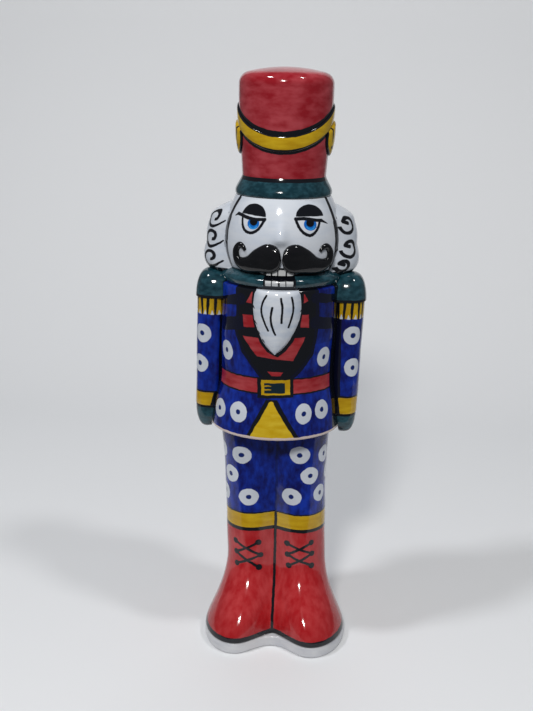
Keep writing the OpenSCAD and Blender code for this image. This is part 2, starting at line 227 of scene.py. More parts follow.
# Glaze colour that a brush leaves uneven: streaks along the stroke over wide blotches where it runs thin
blotch_scale = 0.07
blotch_weight = 0.8
thin_contrast = 2.4
thin_start = 1.75
brushed_glaze, given, number, arrow, give = new_group(
    "brushed_glaze", {"Colour": "Color", "Thin": "Color", "Stroke": "Vector", "Amount": "Float"},
    {"Colour": "Color"})
spot = spot_mm(brushed_glaze)
streaks = cloud(brushed_glaze, arrow("MULTIPLY", spot, given["Stroke"]), scale=1, detail=4)[0]
blotches = cloud(brushed_glaze, spot, blotch_scale, detail=3)[0]
uneven = number("MULTIPLY_ADD", blotches, blotch_weight, streaks)
thinned = number("MULTIPLY_ADD", uneven, thin_contrast, -thin_start, clamp=True)
thinned = number("MULTIPLY", thinned, given["Amount"])
give("Colour", blend(brushed_glaze, thinned, given["Colour"], given["Thin"]))

# Fired surface: a clear, wet-looking gloss that waves a little and dulls in places
gloss_roughness = 0.05
dull_range = 0.1
dull_scale = 0.15
ripple_scale = 0.22
fired_skin, given, number, arrow, give = new_group(
    "fired_skin", {}, {"Roughness": "Float", "Height": "Float"})
spot = spot_mm(fired_skin)
dulled = cloud(fired_skin, spot, dull_scale, detail=3)[0]
give("Roughness", number("MULTIPLY_ADD", dulled, dull_range, gloss_roughness))
give("Height", cloud(fired_skin, spot, ripple_scale, detail=1)[0])


def screen(red, green, blue):
    """Colour of a glaze from its 0 to 255 screen values, by the usual screen curve."""
    shares = [value / 255 for value in (red, green, blue)]
    return tuple(((s + 0.055) / 1.055) ** 2.4 if s > 0.04 else s / 12.92 for s in shares) + (1,)


level_brush = (0.1, 0.1, 0.4)


def brushed(glaze, colour, thin, stroke=level_brush, amount=1.0):
    return use(glaze.tree, brushed_glaze, Colour=colour, Thin=thin, Stroke=stroke, Amount=amount)["Colour"]


def lay(glaze, mask, colour):
    """Lays one more colour over what is painted already, where the mask is 1."""
    glaze.colour = blend(glaze.tree, mask, glaze.colour, colour)
    feed(glaze.tree, glaze.shader.inputs["Base Color"], glaze.colour)


glaze_ior = 1.48
ripple_strength = 0.35
ripple_depth = 0.0002


def fired(name, colour, thin, stroke=level_brush, amount=1.0):
    """Glazed ware with one brushed ground colour, which lay() paints over."""
    material = bpy.data.materials.new(name)
    material.use_nodes = True
    tree = material.node_tree
    glaze = SimpleNamespace(material=material, tree=tree, shader=tree.nodes["Principled BSDF"])
    skin = use(tree, fired_skin)
    bump = feed_all(tree, tree.nodes.new("ShaderNodeBump"), {
        "Strength": ripple_strength, "Distance": ripple_depth, "Height": skin["Height"]})
    glaze.colour = brushed(glaze, colour, thin, stroke, amount)
    feed_all(tree, glaze.shader, {"Base Color": glaze.colour, "IOR": glaze_ior, "Normal": bump["Normal"],
                                  "Roughness": skin["Roughness"]})
    return glaze


boot_low, boot_high = box_mm("boot_right")
sole_top = boot_low.z
toe_x = 20
notch_reach = 26
ball_reach = 8
leg_x = 13.4
groove = 5
sole_round = 1.4
sole_rim = 0.7
vent_r = 5
vent_steps = 48
sole_white = screen(202, 203, 206)
sole_shade = screen(184, 186, 192)

sole_half = half_lobes(-notch_reach, (toe_x, boot_low.y), (boot_high.x, -ball_reach),
                       (leg_x, boot_high.y), boot_high.y - groove)
sole_rings = [[(x, y, z) for x, y in grow(both_halves(sole_half), -inset)]
              for z, inset in rolled(0, sole_top, sole_round, sole_rim)]
sole_points, sole_faces = walls(sole_rings, capped=False)
vent_loops = {0: [], sole_top: []}
for x in (-leg_x, leg_x):
    rings = [[(x + vent_r * math.cos(a), vent_r * math.sin(a), z) for a in full_turn(vent_steps)]
             for z in vent_loops]
    points, faces = walls(rings, capped=False)
    sole_faces += [tuple(len(sole_points) + i for i in face) for face in faces]
    for z, ring in zip(vent_loops, rings):
        vent_loops[z].append(ring)
    sole_points += points
for z, edge in ((0, sole_rings[0]), (sole_top, sole_rings[-1])):
    loops = [edge] + vent_loops[z]
    triangles = tessellate_polygon([[Vector(p) for p in loop] for loop in loops])
    sole_faces += [tuple(len(sole_points) + i for i in triangle) for triangle in triangles]
    sole_points += [p for loop in loops for p in loop]
dress("sole", sole_points, sole_faces, fired("white_sole", sole_white, sole_shade), "white_glaze")


# Boots: a pair of tall red boots, each cast hollow with its own toe cap and luted to the sole and the leg.
# Painted by brush in thin red glaze with black laces, a black line round the sole and one down the seam.
def lobe_ring(half, z, side, inset=0.0):
    """One level of the left or right half of a pair, closed along the middle."""
    outline = grow(both_halves(half), -inset)[:len(half)]
    outline[0] = (0, outline[0][1])
    outline[-1] = (0, outline[-1][1])
    return [(side * x, y, z) for x, y in outline]


def split(tree, place):
    return add_node(tree, "SeparateXYZ", place)


def join(tree, *values):
    return add_node(tree, "CombineXYZ", *values)[0]


# Where a spot lies on a piece rolled out flat from the front of its axis, shifted by a brush's waver
waver_scale = 0.3
rolled_out, given, number, arrow, give = new_group(
    "rolled_out", {"Axis": "Vector", "Girth": "Float", "Waver": "Float"},
    {"Place": "Vector", "Spot": "Vector"})
spot = spot_mm(rolled_out)
waver = arrow("SUBTRACT", cloud(rolled_out, spot, waver_scale, detail=2)[1], (0.5, 0.5, 0.5))
waver = arrow("MULTIPLY", waver, join(rolled_out, given["Waver"], given["Waver"], given["Waver"]))
give("Spot", arrow("ADD", spot, waver))
across, back, up = split(rolled_out, arrow("SUBTRACT", spot, given["Axis"]))
turn = number("ARCTAN2", across, number("MULTIPLY", back, -1))
flat = join(rolled_out, number("MULTIPLY", turn, given["Girth"]), up)
give("Place", arrow("ADD", flat, arrow("MULTIPLY", waver, (1, 1, 0))))


def roll_out(glaze, girth, axis_x=0.0, waver=1.0):
    """Lets the painting of a piece be given in mm round its girth from the front, and in mm of height."""
    found = use(glaze.tree, rolled_out, Axis=(axis_x, 0, 0), Girth=girth, Waver=waver)
    glaze.place = found["Place"]
    glaze.across, glaze.depth, glaze.height = split(glaze.tree, found["Spot"])
    glaze.round = split(glaze.tree, glaze.place)[0]


line_edge = 0.22
line_black = screen(13, 15, 22)


def edged(number, depth):
    """Mask with a soft edge where the depth inside a painted shape is above 0."""
    return number("MULTIPLY_ADD", depth, 1 / line_edge, 0.5, clamp=True)


# Mask of a value between two limits
between, given, number, arrow, give = new_group(
    "between", {"Value": "Float", "Low": "Float", "High": "Float"}, {"Paint": "Float"})
rise = number("SUBTRACT", given["Value"], given["Low"])
fall = number("SUBTRACT", given["High"], given["Value"])
give("Paint", edged(number, number("MINIMUM", rise, fall)))


def band(glaze, value, low, high):
    return use(glaze.tree, between, Value=value, Low=low, High=high)["Paint"]


def stripe(glaze, value, low, high, colour=line_black):
    lay(glaze, band(glaze, value, low, high), colour)


# Mask of one brush stroke between two places, bowed to its left, with half widths along it
brush_stroke, given, number, arrow, give = new_group(
    "brush_stroke", {"Place": "Vector", "From": "Vector", "To": "Vector", "Bow": "Float", "Start": "Float",
                     "Middle": "Float", "End": "Float"}, {"Paint": "Float"})
chord = arrow("SUBTRACT", given["To"], given["From"])
offset = arrow("SUBTRACT", given["Place"], given["From"])
length = arrow("LENGTH", chord)
share = number("DIVIDE", arrow("DOT_PRODUCT", offset, chord), number("MULTIPLY", length, length))
held = number("MULTIPLY", share, 1, clamp=True)
rest = number("SUBTRACT", 1, held)
swell = number("MULTIPLY", held, rest)
aside = arrow("DOT_PRODUCT", arrow("CROSS_PRODUCT", chord, offset), (0, 0, 1))
aside = number("DIVIDE", aside, length)
aside = number("SUBTRACT", aside, number("MULTIPLY", number("MULTIPLY", swell, 4), given["Bow"]))
beyond = number("MULTIPLY", number("SUBTRACT", share, held), length)
away = number("SQRT", number("ADD", number("MULTIPLY", aside, aside), number("MULTIPLY", beyond, beyond)))
ends = number("ADD", given["Start"], given["End"])
belly = number("MULTIPLY_ADD", given["Middle"], 4, number("MULTIPLY", ends, -1))
width = number("MULTIPLY", swell, belly)
width = number("ADD", width, number("MULTIPLY", number("MULTIPLY", rest, rest), given["Start"]))
width = number("ADD", width, number("MULTIPLY", number("MULTIPLY", held, held), given["End"]))
give("Paint", edged(number, number("SUBTRACT", width, away)))


def mark(glaze, group, colour, **shape):
    """Paints one mark of a group's shape on a rolled-out piece."""
    lay(glaze, use(glaze.tree, group, Place=glaze.place, **shape)["Paint"], colour)


def stroke(glaze, start, end, widths, colour=line_black, bow=0.0):
    mark(glaze, brush_stroke, colour, From=(*start, 0), To=(*end, 0), Bow=bow,
         Start=widths[0], Middle=widths[1], End=widths[2])


# Masks of an oval dab of paint and of the smaller dab in its middle
mean_half = (0.7, 0.7, 0)
dab, given, number, arrow, give = new_group(
    "dab", {"Place": "Vector", "Centre": "Vector", "Half": "Vector", "Eye": "Float"},
    {"Paint": "Float", "Middle": "Float"})
offset = arrow("SUBTRACT", given["Place"], given["Centre"])
size = arrow("LENGTH", arrow("MULTIPLY", given["Half"], mean_half))
span = arrow("LENGTH", arrow("DIVIDE", offset, given["Half"]))
give("Paint", edged(number, number("MULTIPLY", number("SUBTRACT", 1, span), size)))
give("Middle", edged(number, number("SUBTRACT", given["Eye"], arrow("LENGTH", offset))))


def dot(glaze, centre, half, colour=line_black):
    mark(glaze, dab, colour, Centre=(*centre, 0), Half=(*half, 1))


boot_red = screen(164, 22, 28)
boot_pink = screen(188, 64, 66)
boot_dark = screen(140, 8, 14)
boot_brush = (0.3, 0.3, 0.12)
boot_thin = 0.8
leg_half_w = 26.8
leg_half_d = 16
leg_girth = 14.5
leg_bend = 0.6
flare_h = 39
flare_bend = 0.67
instep_h = 38
cleft_reach = 23
cleft_bend = 0.7
welt_h = 2.5
welt_round = 1.1
boot_steps = 48
seam_half = 0.75
dark_foot_h = 16
dark_foot_share = 0.55
foot_line = 3.2
boot_top_line = 2.0
eyelet_r = 1.6
lace_widths = (0.7, 0.72, 0.72)
lace_rows = {"left": [(-7.6, 55.2), (4.4, 55.3), (-7.1, 48.9), (5.6, 47.9), (-6.7, 42.2), (4.8, 40.9)],
             "right": [(-6.4, 55.3), (6.0, 56.2), (-6.1, 49.0), (6.4, 49.9), (-5.3, 42.6), (6.4, 42.9)]}
lace_crossings = [(0, 3), (1, 2), (2, 5), (3, 4)]
# How far a painted band runs past the end of its piece
past_end = 1
sides = {"left": -1, "right": 1}


def leg_outline(half_w):
    return half_lobes(groove - leg_half_d, (half_w / 2, -leg_half_d), (half_w, 0),
                      (half_w / 2, leg_half_d), leg_half_d - groove, leg_bend)


def flare(h):
    """Share of the sideways spread towards the sole at height h above the sole."""
    return wave(1 - min(h / flare_h, 1) ** flare_bend)


def instep(h):
    """Share of the toes' reach at height h above the sole."""
    return wave(1 - min(h / instep_h, 1))


boot_top = leg_outline(leg_half_w)
boot_foot = half_lobes(-cleft_reach, (toe_x, boot_low.y), (boot_high.x, -ball_reach),
                       (leg_x, boot_high.y), boot_high.y - groove, cleft_bend)
boot_h = boot_high.z - boot_low.z
boot_levels = rolled(0, welt_h, welt_round, 0)
boot_levels += [(mix(welt_h, boot_h, t), 0) for t in steps_to(1, boot_steps)[1:]]
for name, side in sides.items():
    rings = []
    for h, inset in boot_levels:
        half = [(mix(a[0], b[0], flare(h)), mix(a[1], b[1], instep(h))) for a, b in zip(boot_top, boot_foot)]
        rings.append(lobe_ring(half, sole_top + h, side, inset))
    glaze = fired("red_boot_" + name, boot_red, boot_pink, boot_brush, boot_thin)
    roll_out(glaze, leg_girth, side * leg_x, waver=0.7)
    # The red is darker towards the sole and fades out higher up.
    dark_foot = reckon(glaze.tree, "MULTIPLY_ADD", glaze.height, -1 / dark_foot_h, 1 + sole_top / dark_foot_h,
                    clamp=True)
    lay(glaze, reckon(glaze.tree, "MULTIPLY", dark_foot, dark_foot_share), boot_dark)
    eyelets = lace_rows[name]
    for start, end in lace_crossings:
        stroke(glaze, eyelets[start], eyelets[end], lace_widths)
    for place in eyelets:
        dot(glaze, place, (eyelet_r, eyelet_r))
    stripe(glaze, glaze.across, -seam_half, seam_half)
    stripe(glaze, glaze.height, 0, sole_top + foot_line)
    stripe(glaze, glaze.height, boot_high.z - boot_top_line, boot_high.z + past_end)
    dress("boot_" + name, *walls(rings), glaze, "red_glaze")


# Legs: blue trousers that widen under the coat, cast hollow and seated on the boots by a low ring.
# Cobalt glaze laid on by brush round white dots left bare, each with a blue eye; a yellow band at the foot.
cobalt = screen(4, 10, 86)
cobalt_thin = screen(16, 50, 162)
cobalt_brush = (0.35, 0.35, 0.2)
eye_blue = screen(14, 36, 104)
dot_white = screen(206, 212, 222)
yellow = screen(182, 141, 5)
yellow_thin = screen(206, 170, 26)
leg_z = boot_high.z
leg_h = 58
leg_top = leg_z + leg_h
leg_top_half_w = 29.5
leg_widening = 3
leg_steps = 24
band_top = leg_z + 7.8
band_line = 0.8
seam_shadow = 0.4
leg_dot = (4.9, 4.7)
leg_eye = 1.3
leg_dots = {"left": [(-4.6, 104.6), (-10.9, 92.8), (-0.8, 81.4), (-18.6, 105.0), (-17, 81.2), (-26, 92),
                     (-33, 104), (-32, 80.5), (-40, 93.5)],
            "right": [(-1.1, 106.0), (4.4, 94.4), (-4.7, 82.3), (14.0, 104.9), (11.5, 83.4), (21, 94),
                      (27, 106), (26, 82.5), (34, 93.5), (40, 105), (40, 82)]}


def ring_dot(glaze, centre, half, eye):
    masks = use(glaze.tree, dab, Place=glaze.place, Centre=(*centre, 0), Half=(*half, 1), Eye=eye)
    lay(glaze, masks["Paint"], dot_white)
    lay(glaze, masks["Middle"], eye_blue)


for name, side in sides.items():
    rings = []
    for share in steps_to(1, leg_steps):
        half = leg_outline(mix(leg_half_w, leg_top_half_w, share ** leg_widening))
        rings.append(lobe_ring(half, mix(leg_z, leg_top, share), side))
    glaze = fired("blue_leg_" + name, cobalt, cobalt_thin, cobalt_brush)
    roll_out(glaze, leg_girth, side * leg_x, waver=0.8)
    for centre in leg_dots[name]:
        ring_dot(glaze, centre, leg_dot, leg_eye)
    stripe(glaze, glaze.height, band_top, band_top + band_line)
    stripe(glaze, glaze.height, leg_z - past_end, band_top, brushed(glaze, yellow, yellow_thin))
    # Down the valley between the legs the seam is a full black line on the yellow band; on the blue it is
    # only a weak black, as painted shade in the valley.
    valley = band(glaze, glaze.across, -seam_half, seam_half)
    on_band = band(glaze, glaze.height, 0, band_top)
    seam_line_and_shade = reckon(glaze.tree, "MULTIPLY_ADD", on_band, 1 - seam_shadow, seam_shadow)
    lay(glaze, reckon(glaze.tree, "MULTIPLY", valley, seam_line_and_shade), line_black)
    dress("leg_" + name, *walls(rings), glaze, "blue_glaze")


# Coat: the hollow barrel of the body, with a flared hem that hangs a little below the legs' seat.
# Cobalt ground with a black and red frogged front, a red belt with a yellow buckle, dots and a bare hem.
def spline(points, steps):
    """Smooth curve through given points, with steps between each pair."""
    curve = []
    for i in range(len(points) - 1):
        a, b = Vector(points[max(i - 1, 0)]), Vector(points[i])
        c, d = Vector(points[i + 1]), Vector(points[min(i + 2, len(points) - 1)])
        for k in range(steps):
            t = k / steps
            bend = (2 * a - 5 * b + 4 * c - d) * t ** 2 + (3 * b - a - 3 * c + d) * t ** 3
            curve.append(tuple((2 * b + (c - a) * t + bend) / 2))
    return curve + [tuple(points[-1])]


def lathe(profile, steps=144):
    """Rings turned about the middle axis from a profile of radius and height."""
    return [[(r * math.cos(a), r * math.sin(a), z) for a in full_turn(steps)] for r, z in profile]


def radius_at(profile, z):
    """Radius of a turned profile at height z, or at its end nearest to z."""
    below = profile[0]
    for above in profile:
        if above[1] >= z:
            span = above[1] - below[1]
            return above[0] if span <= 0 else mix(below[0], above[0], (z - below[1]) / span)
        below = above
    return below[0]


# Mask of a patch with four straight sides, given by its corners in anticlockwise order
patch_shape, given, number, arrow, give = new_group(
    "patch_shape", {"Place": "Vector", "A": "Vector", "B": "Vector", "C": "Vector", "D": "Vector"},
    {"Paint": "Float"})
depth = None
for first, second in ("AB", "BC", "CD", "DA"):
    edge = arrow("NORMALIZE", arrow("SUBTRACT", given[second], given[first]))
    offset = arrow("SUBTRACT", given["Place"], given[first])
    gap = arrow("DOT_PRODUCT", arrow("CROSS_PRODUCT", edge, offset), (0, 0, 1))
    depth = gap if depth is None else number("MINIMUM", depth, gap)
give("Paint", edged(number, depth))


def patch(glaze, corners, colour=line_black):
    mark(glaze, patch_shape, colour, **{label: (*corner, 0) for label, corner in zip("ABCD", corners)})


def line(glaze, places, half, colour=line_black, steps=2):
    """A line of even width drawn smoothly through the places."""
    places = spline(places, steps)
    for start, end in zip(places, places[1:]):
        stroke(glaze, start, end, (half, half, half), colour)


coat_low, coat_high = box_mm("coat")
hem_z = coat_low.z
coat_top = coat_high.z
coat_r = 31
waist_r = 30.4
hem_r = 34
skirt_ease = 0.35
hem_edge = 1.1
hem_bare = 1.7
shoulder_round = 1.5
edge_steps = 8
side_steps = 10
belt_z = 147
belt_half = 3.5
belt_line = 0.8
coat_eye = 1.3
coat_dots = {(-30.5, 161.9): (5.2, 5.0), (27.4, 160.5): (5.0, 5.1), (-32.2, 131.0): (5.0, 4.8),
             (-18.8, 132.3): (4.9, 5.2), (14.1, 132.9): (4.4, 5.2), (25.3, 133.5): (4.7, 4.9)}
back_dot = (4.8, 5.0)
back_dots = [(66, 132), (86, 131), (76, 163), (66, 181), (90, 181)]
arm_crease_lines_and_shade = [(-39.4, 2.2), (38.6, 4.6)]
bib = [[(-18.5, 170), (17, 170), (16.5, 198), (-18, 198)],
       [(-13, 158), (12, 158), (17, 171), (-18.5, 171)],
       [(-6, 150.5), (6, 150.5), (12.5, 159), (-13.5, 159)]]
bib_edges = [[(-18.8, 195), (-18, 184), (-18.8, 174.5), (-14.8, 166), (-10.5, 161), (-5, 154.5),
              (-1, 151.5)],
             [(16.5, 195), (17.2, 184), (17, 175.5), (15, 165), (10.3, 159), (5.2, 154.5), (1, 151.5)]]
bib_edge = 3
bib_halo = 5
wash_across = (20, 38)
wash_heights = (168, 190)
wash_share = 0.35
frogs = [((-37.9, 186.3), (-19.8, 190.2), (1.9, 2.4, 2.9)),
         ((-35.2, 174.9), (-19.6, 178.0), (3.4, 3.4, 3.4)),
         ((38.3, 189.3), (19.6, 191.8), (1.9, 2.2, 2.6)),
         ((36.8, 176.4), (20.0, 179.3), (2.8, 3.0, 3.3))]
facings = [[(-16.8, 188.8), (-11.5, 188.7), (-11.0, 195.2), (-13.5, 194.4)],
           [(-17.8, 176.4), (-11.0, 177.0), (-11.0, 183.0), (-18.7, 182.6)],
           [(12.0, 189.5), (15.4, 190.6), (13.3, 194.2), (12.0, 194.5)],
           [(11.5, 177.4), (16.1, 177.2), (15.9, 183.9), (11.5, 183.7)],
           [(-10.2, 162.2), (8.3, 160.4), (14.4, 172.3), (-18.4, 171.6)],
           [(-2.5, 152.4), (2.2, 152.6), (3.2, 154.6), (-4.7, 154.8)]]
beard_edges = [[(-11.6, 196.3), (-12.5, 191.6), (-12.5, 185.6), (-11.4, 179.1), (-10.4, 175.7),
                (-8.0, 170.2), (-4.5, 165.6), (0.3, 163.4)],
               [(12.1, 196.9), (12.0, 192.4), (11.5, 184.9), (10.5, 178.4), (7.0, 170.7), (3.7, 166.4),
                (0.3, 163.4)]]
beard_edge = 0.95
flap_border = [(-14.2, 119.8), (11.9, 119.8), (0.6, 140.4), (-5.0, 140.4)]
flap_corners = [(-12.5, 119.6), (9.8, 119.6), (-1.3, 138.6), (-3.3, 138.6)]
flap_tip = (-2.3, 138.2)
flap_tip_half = (1.3, 1.3)
buckle_border = [(-9.5, 140.9), (8.9, 141.7), (8.8, 151.7), (-10.0, 151.2)]
buckle_bar = [(-7.6, 142.4), (7.2, 143.1), (7.0, 150.6), (-7.9, 150.2)]
buckle_hole = [(-6.0, 143.4), (4.5, 143.8), (4.4, 149.1), (-6.2, 148.6)]
prongs = [((-6.3, 145.2), (-2.8, 145.4)), ((-6.3, 147.1), (-2.8, 147.3))]
prong_widths = (0.3, 0.28, 0.15)
hem_pale = screen(214, 196, 190)
cloth_red = screen(150, 26, 34)
cloth_pink = screen(174, 66, 70)
frog_navy = screen(9, 12, 34)
buckle_dark = screen(14, 34, 44)
flap_yellow = screen(196, 158, 10)
flap_thin = screen(216, 186, 48)

coat_side = spline([(hem_r, hem_z + hem_edge), (mix(hem_r, waist_r, skirt_ease), mix(hem_z, belt_z, 0.5)),
                    (waist_r, belt_z), (coat_r, mix(belt_z, coat_top, 0.5)),
                    (coat_r, coat_top - shoulder_round)], side_steps)
hem_turn = [(hem_r - hem_edge * (1 - math.cos(a)), hem_z + hem_edge * (1 - math.sin(a)))
            for a in reversed(steps_to(math.pi, edge_steps)[1:])]
shoulder = [(coat_r - shoulder_round * (1 - math.cos(a)), coat_top - shoulder_round * (1 - math.sin(a)))
            for a in steps_to(math.pi / 2, edge_steps)[1:]]
coat_profile = [(hem_r - 2 * hem_edge, leg_top)] + hem_turn + coat_side + shoulder
coat_radius = partial(radius_at, coat_side + shoulder)

glaze = fired("blue_coat", cobalt, cobalt_thin, cobalt_brush)
roll_out(glaze, coat_r, waver=0.8)
for centre, half in coat_dots.items():
    ring_dot(glaze, centre, half, coat_eye)
for side in sides.values():
    for u, z in back_dots:
        ring_dot(glaze, (side * u, z), back_dot, coat_eye)
for edge in bib_edges:
    line(glaze, edge, bib_halo, frog_navy, steps=1)
for corners in bib:
    patch(glaze, corners)
for edge in bib_edges:
    line(glaze, edge, bib_edge, steps=1)
wash = band(glaze, glaze.round, *wash_across)
wash = reckon(glaze.tree, "MULTIPLY", wash, band(glaze, glaze.height, *wash_heights))
lay(glaze, reckon(glaze.tree, "MULTIPLY", wash, wash_share), frog_navy)
for start, end, widths in frogs:
    stroke(glaze, start, end, widths, frog_navy)
red_cloth = brushed(glaze, cloth_red, cloth_pink)
for corners in facings:
    patch(glaze, corners, red_cloth)
for edge in beard_edges:
    line(glaze, edge, beard_edge, steps=1)
stripe(glaze, glaze.height, belt_z - belt_half - belt_line, belt_z + belt_half + belt_line)
stripe(glaze, glaze.height, belt_z - belt_half, belt_z + belt_half, red_cloth)
# Black bands down the coat beside the arms: a painted line in each crease, widened into painted shade of the
# crease, most on the right.
for u, half in arm_crease_lines_and_shade:
    stroke(glaze, (u, coat_top), (u, hem_z + hem_bare), (half, half, half))
bright = brushed(glaze, yellow, yellow_thin)
patch(glaze, flap_border)
flap = brushed(glaze, flap_yellow, flap_thin)
patch(glaze, flap_corners, flap)
dot(glaze, flap_tip, flap_tip_half, flap)
patch(glaze, buckle_border)
patch(glaze, buckle_bar, bright)
patch(glaze, buckle_hole, buckle_dark)
for start, end in prongs:
    stroke(glaze, start, end, prong_widths, bright)
stripe(glaze, glaze.height, hem_z - past_end, hem_z + hem_bare, hem_pale)
dress("coat", *walls(lathe(coat_profile)), glaze, "blue_glaze")


# Collar: a rolled bead of dark teal glaze that hides the joint between the coat and the head.
# Thrown as a ring and held by the head's spigot, with a black line and the lower teeth painted on it.
teal = screen(12, 46, 56)
teal_thin = screen(42, 82, 94)
teal_brush = (0.3, 0.3, 0.5)
tooth_white = screen(206, 208, 210)
collar_high = box_mm("collar")[1]
collar_r = collar_high.x
chin_r = 26.5
collar_steps = 16
collar_line = 1.2
lower_mouth = [(-7.8, 195.0), (8.7, 195.0), (8.7, 204.0), (-7.8, 204.0)]
lower_teeth = [(-6.7, -3.7), (-3.2, -0.3), (0.6, 3.4), (3.9, 7.3)]
lower_tooth_z = (198.0, 200.5)


def collar_radius(z):
    t = (z - coat_top) / (collar_high.z - coat_top)
    return mix(mix(coat_r - shoulder_round, chin_r, t), collar_r, math.sin(math.pi * t))


def teeth(glaze, spans, low, high):
    for left, right in spans:
        patch(glaze, [(left, low), (right, low), (right, high), (left, high)], tooth_white)


collar_levels = [mix(coat_top, collar_high.z, t) for t in steps_to(1, collar_steps)]
glaze = fired("teal_collar", teal, teal_thin, teal_brush)
roll_out(glaze, collar_r, waver=0.6)
stripe(glaze, glaze.height, coat_top - past_end, coat_top + collar_line)
patch(glaze, lower_mouth)
teeth(glaze, lower_teeth, *lower_tooth_z)
dress("collar", *walls(lathe([(collar_radius(z), z) for z in collar_levels])), glaze, "teal_glaze")


# Head: a white barrel with a nose pressed out of the wall, closed on top by the hat.
# Left white, with the brows, eyes, cheek lines and teeth drawn on in black and blue under clear glaze.
head_z = collar_high.z
head_top = box_mm("head")[1].z
head_r = 30
brow_r = 24
cheek_rise = 13.5
head_levels = 80
head_steps = 240
nose_z = head_z + 18
nose_stand = 2.4
nose_half_w = 3.4
nose_set = 0.8
bridge_h = 12.5
bridge_share = 0.7
nostril_h = 4.8
lip_r = 29.2
lip_half_w = 9.5
lip_h = 4.6
lip_square = 6
face_white = screen(214, 219, 227)
face_shade = screen(198, 207, 221)
iris_blue = screen(6, 100, 190)
iris_pale = screen(44, 148, 222)
pupil_black = screen(4, 6, 14)
pupil_half = (2.3, 1.9)
glint_r = (2.4, 2.4)
glint_from = 200
glint_sweep = 140
glint_widths = (0.35, 0.35)
rim_line = 0.74
lid_line = 0.8
lash_widths = (0.15, 0.5, 0.75)
eyes = [SimpleNamespace(brow=(-15.5, 231.6), brow_half=(7.7, 5.4), iris=(-14.4, 227.7), iris_half=(3.5, 2.8),
                        pupil=(-14.3, 228.6),
                        white=[(-24.5, 226.6), (-6.4, 226.6), (-6.4, 231.0), (-24.5, 232.0)],
                        lid=[(-28.7, 230.3), (-26.1, 231.4), (-22.8, 231.1), (-20.3, 230.5), (-15.6, 229.8),
                             (-11.5, 229.7), (-8.2, 230.0)],
                        rim=[(-22.0, 229.8), (-21.1, 226.8), (-19.3, 224.4), (-16.9, 223.3), (-14.0, 223.4),
                             (-11.0, 225.2), (-8.8, 228.8), (-8.0, 230.0)]),
        SimpleNamespace(brow=(16.8, 231.6), brow_half=(8.6, 5.6), iris=(16.1, 227.9), iris_half=(3.7, 3.0),
                        pupil=(16.0, 228.6),
                        white=[(7.0, 226.6), (26.5, 226.6), (26.5, 231.4), (7.0, 231.7)],
                        lid=[(27.6, 227.6), (23.7, 229.3), (18.7, 229.9), (12.8, 230.7), (7.9, 230.6)],
                        rim=[(8.2, 230.2), (9.4, 227.2), (12.0, 224.1), (15.3, 222.6), (18.3, 223.8),
                             (21.0, 226.7), (22.1, 229.4)])]
cheek_lines = [[(-30.5, 238.6), (-32.8, 233.7), (-34.3, 228.5), (-35.0, 223.4), (-34.7, 218.5),
                (-34.0, 212.1), (-34.0, 203.0)],
               [(33.0, 239.0), (34.0, 233.4), (35.2, 226.9), (35.7, 220.9), (35.4, 214.5), (34.4, 208.5),
                (34.0, 203.0)]]
cheek_widths = {(0, 3): 1.5, (2, 5): 2.3, (4, 7): 1.7}
upper_mouth = [(-8.4, 201.0), (9.0, 201.0), (8.7, 206.8), (-8.0, 206.8)]
upper_teeth = [(-6.4, -4.2), (-3.3, -0.9), (-0.3, 3.3), (4.1, 7.9)]
upper_tooth_z = (203.0, 205.8)
jaw_from = (8, 203.2)
jaw_to = (33, 203.4)
jaw_widths = (0.5, 0.5, 0.5)

# Mask of a stroke round a centre, whose radius and half width change evenly on the way
arc_stroke, given, number, arrow, give = new_group(
    "arc_stroke", {"Place": "Vector", "Centre": "Vector", "Inner": "Float", "Outer": "Float",
                   "From": "Float", "Sweep": "Float", "Start": "Float", "End": "Float"}, {"Paint": "Float"})
offset = arrow("SUBTRACT", given["Place"], given["Centre"])
across, up, _ = split(arc_stroke, offset)
turn = number("SUBTRACT", number("ARCTAN2", up, across), given["From"])
turn = number("MULTIPLY", turn, number("SIGN", given["Sweep"]))
turn = number("FLOORED_MODULO", turn, math.tau)
share = number("DIVIDE", turn, number("ABSOLUTE", given["Sweep"]))
widen = number("SUBTRACT", given["Outer"], given["Inner"])
radius = number("MULTIPLY_ADD", widen, share, given["Inner"])
taper = number("SUBTRACT", given["End"], given["Start"])
width = number("MULTIPLY_ADD", taper, share, given["Start"])
away = number("ABSOLUTE", number("SUBTRACT", arrow("LENGTH", offset), radius))
paint = edged(number, number("SUBTRACT", width, away))
give("Paint", number("MULTIPLY", paint, number("LESS_THAN", share, 1)))


def arc(glaze, centre, radii, start, sweep, widths, colour=line_black):
    """Curved stroke round a centre, from the start angle in degrees, whose radius may grow on the way."""
    mark(glaze, arc_stroke, colour, Centre=(*centre, 0), Inner=radii[0], Outer=radii[1],
         From=math.radians(start), Sweep=math.radians(sweep), Start=widths[0], End=widths[1])


def head_radius(z):
    h = z - head_z
    if h < cheek_rise:
        return mix(head_r, chin_r, (1 - max(h, 0) / cheek_rise) ** 2)
    return mix(head_r, brow_r, ((h - cheek_rise) / (head_top - head_z - cheek_rise)) ** 2)


def nose(turn, z):
    """How far the nose stands out of the barrel: a ridge that falls away below its tip."""
    rise = (z - nose_z) / (bridge_h if z > nose_z else nostril_h)
    if abs(rise) >= 1:
        return 0
    across = (head_r * turn - nose_set) / (nose_half_w * mix(1, bridge_share, max(rise, 0)))
    return nose_stand * (1 + math.cos(math.pi * rise)) / 2 * math.exp(-across ** 2)


def lips(turn, z):
    """How far the mouth stands out of the barrel, so that both rows of teeth lie almost level."""
    aside = abs(head_r * turn) / lip_half_w
    share = math.sqrt(max(1 - (z - head_z) / lip_h, 0))
    return (lip_r - head_radius(z)) * share * math.exp(-aside ** lip_square)


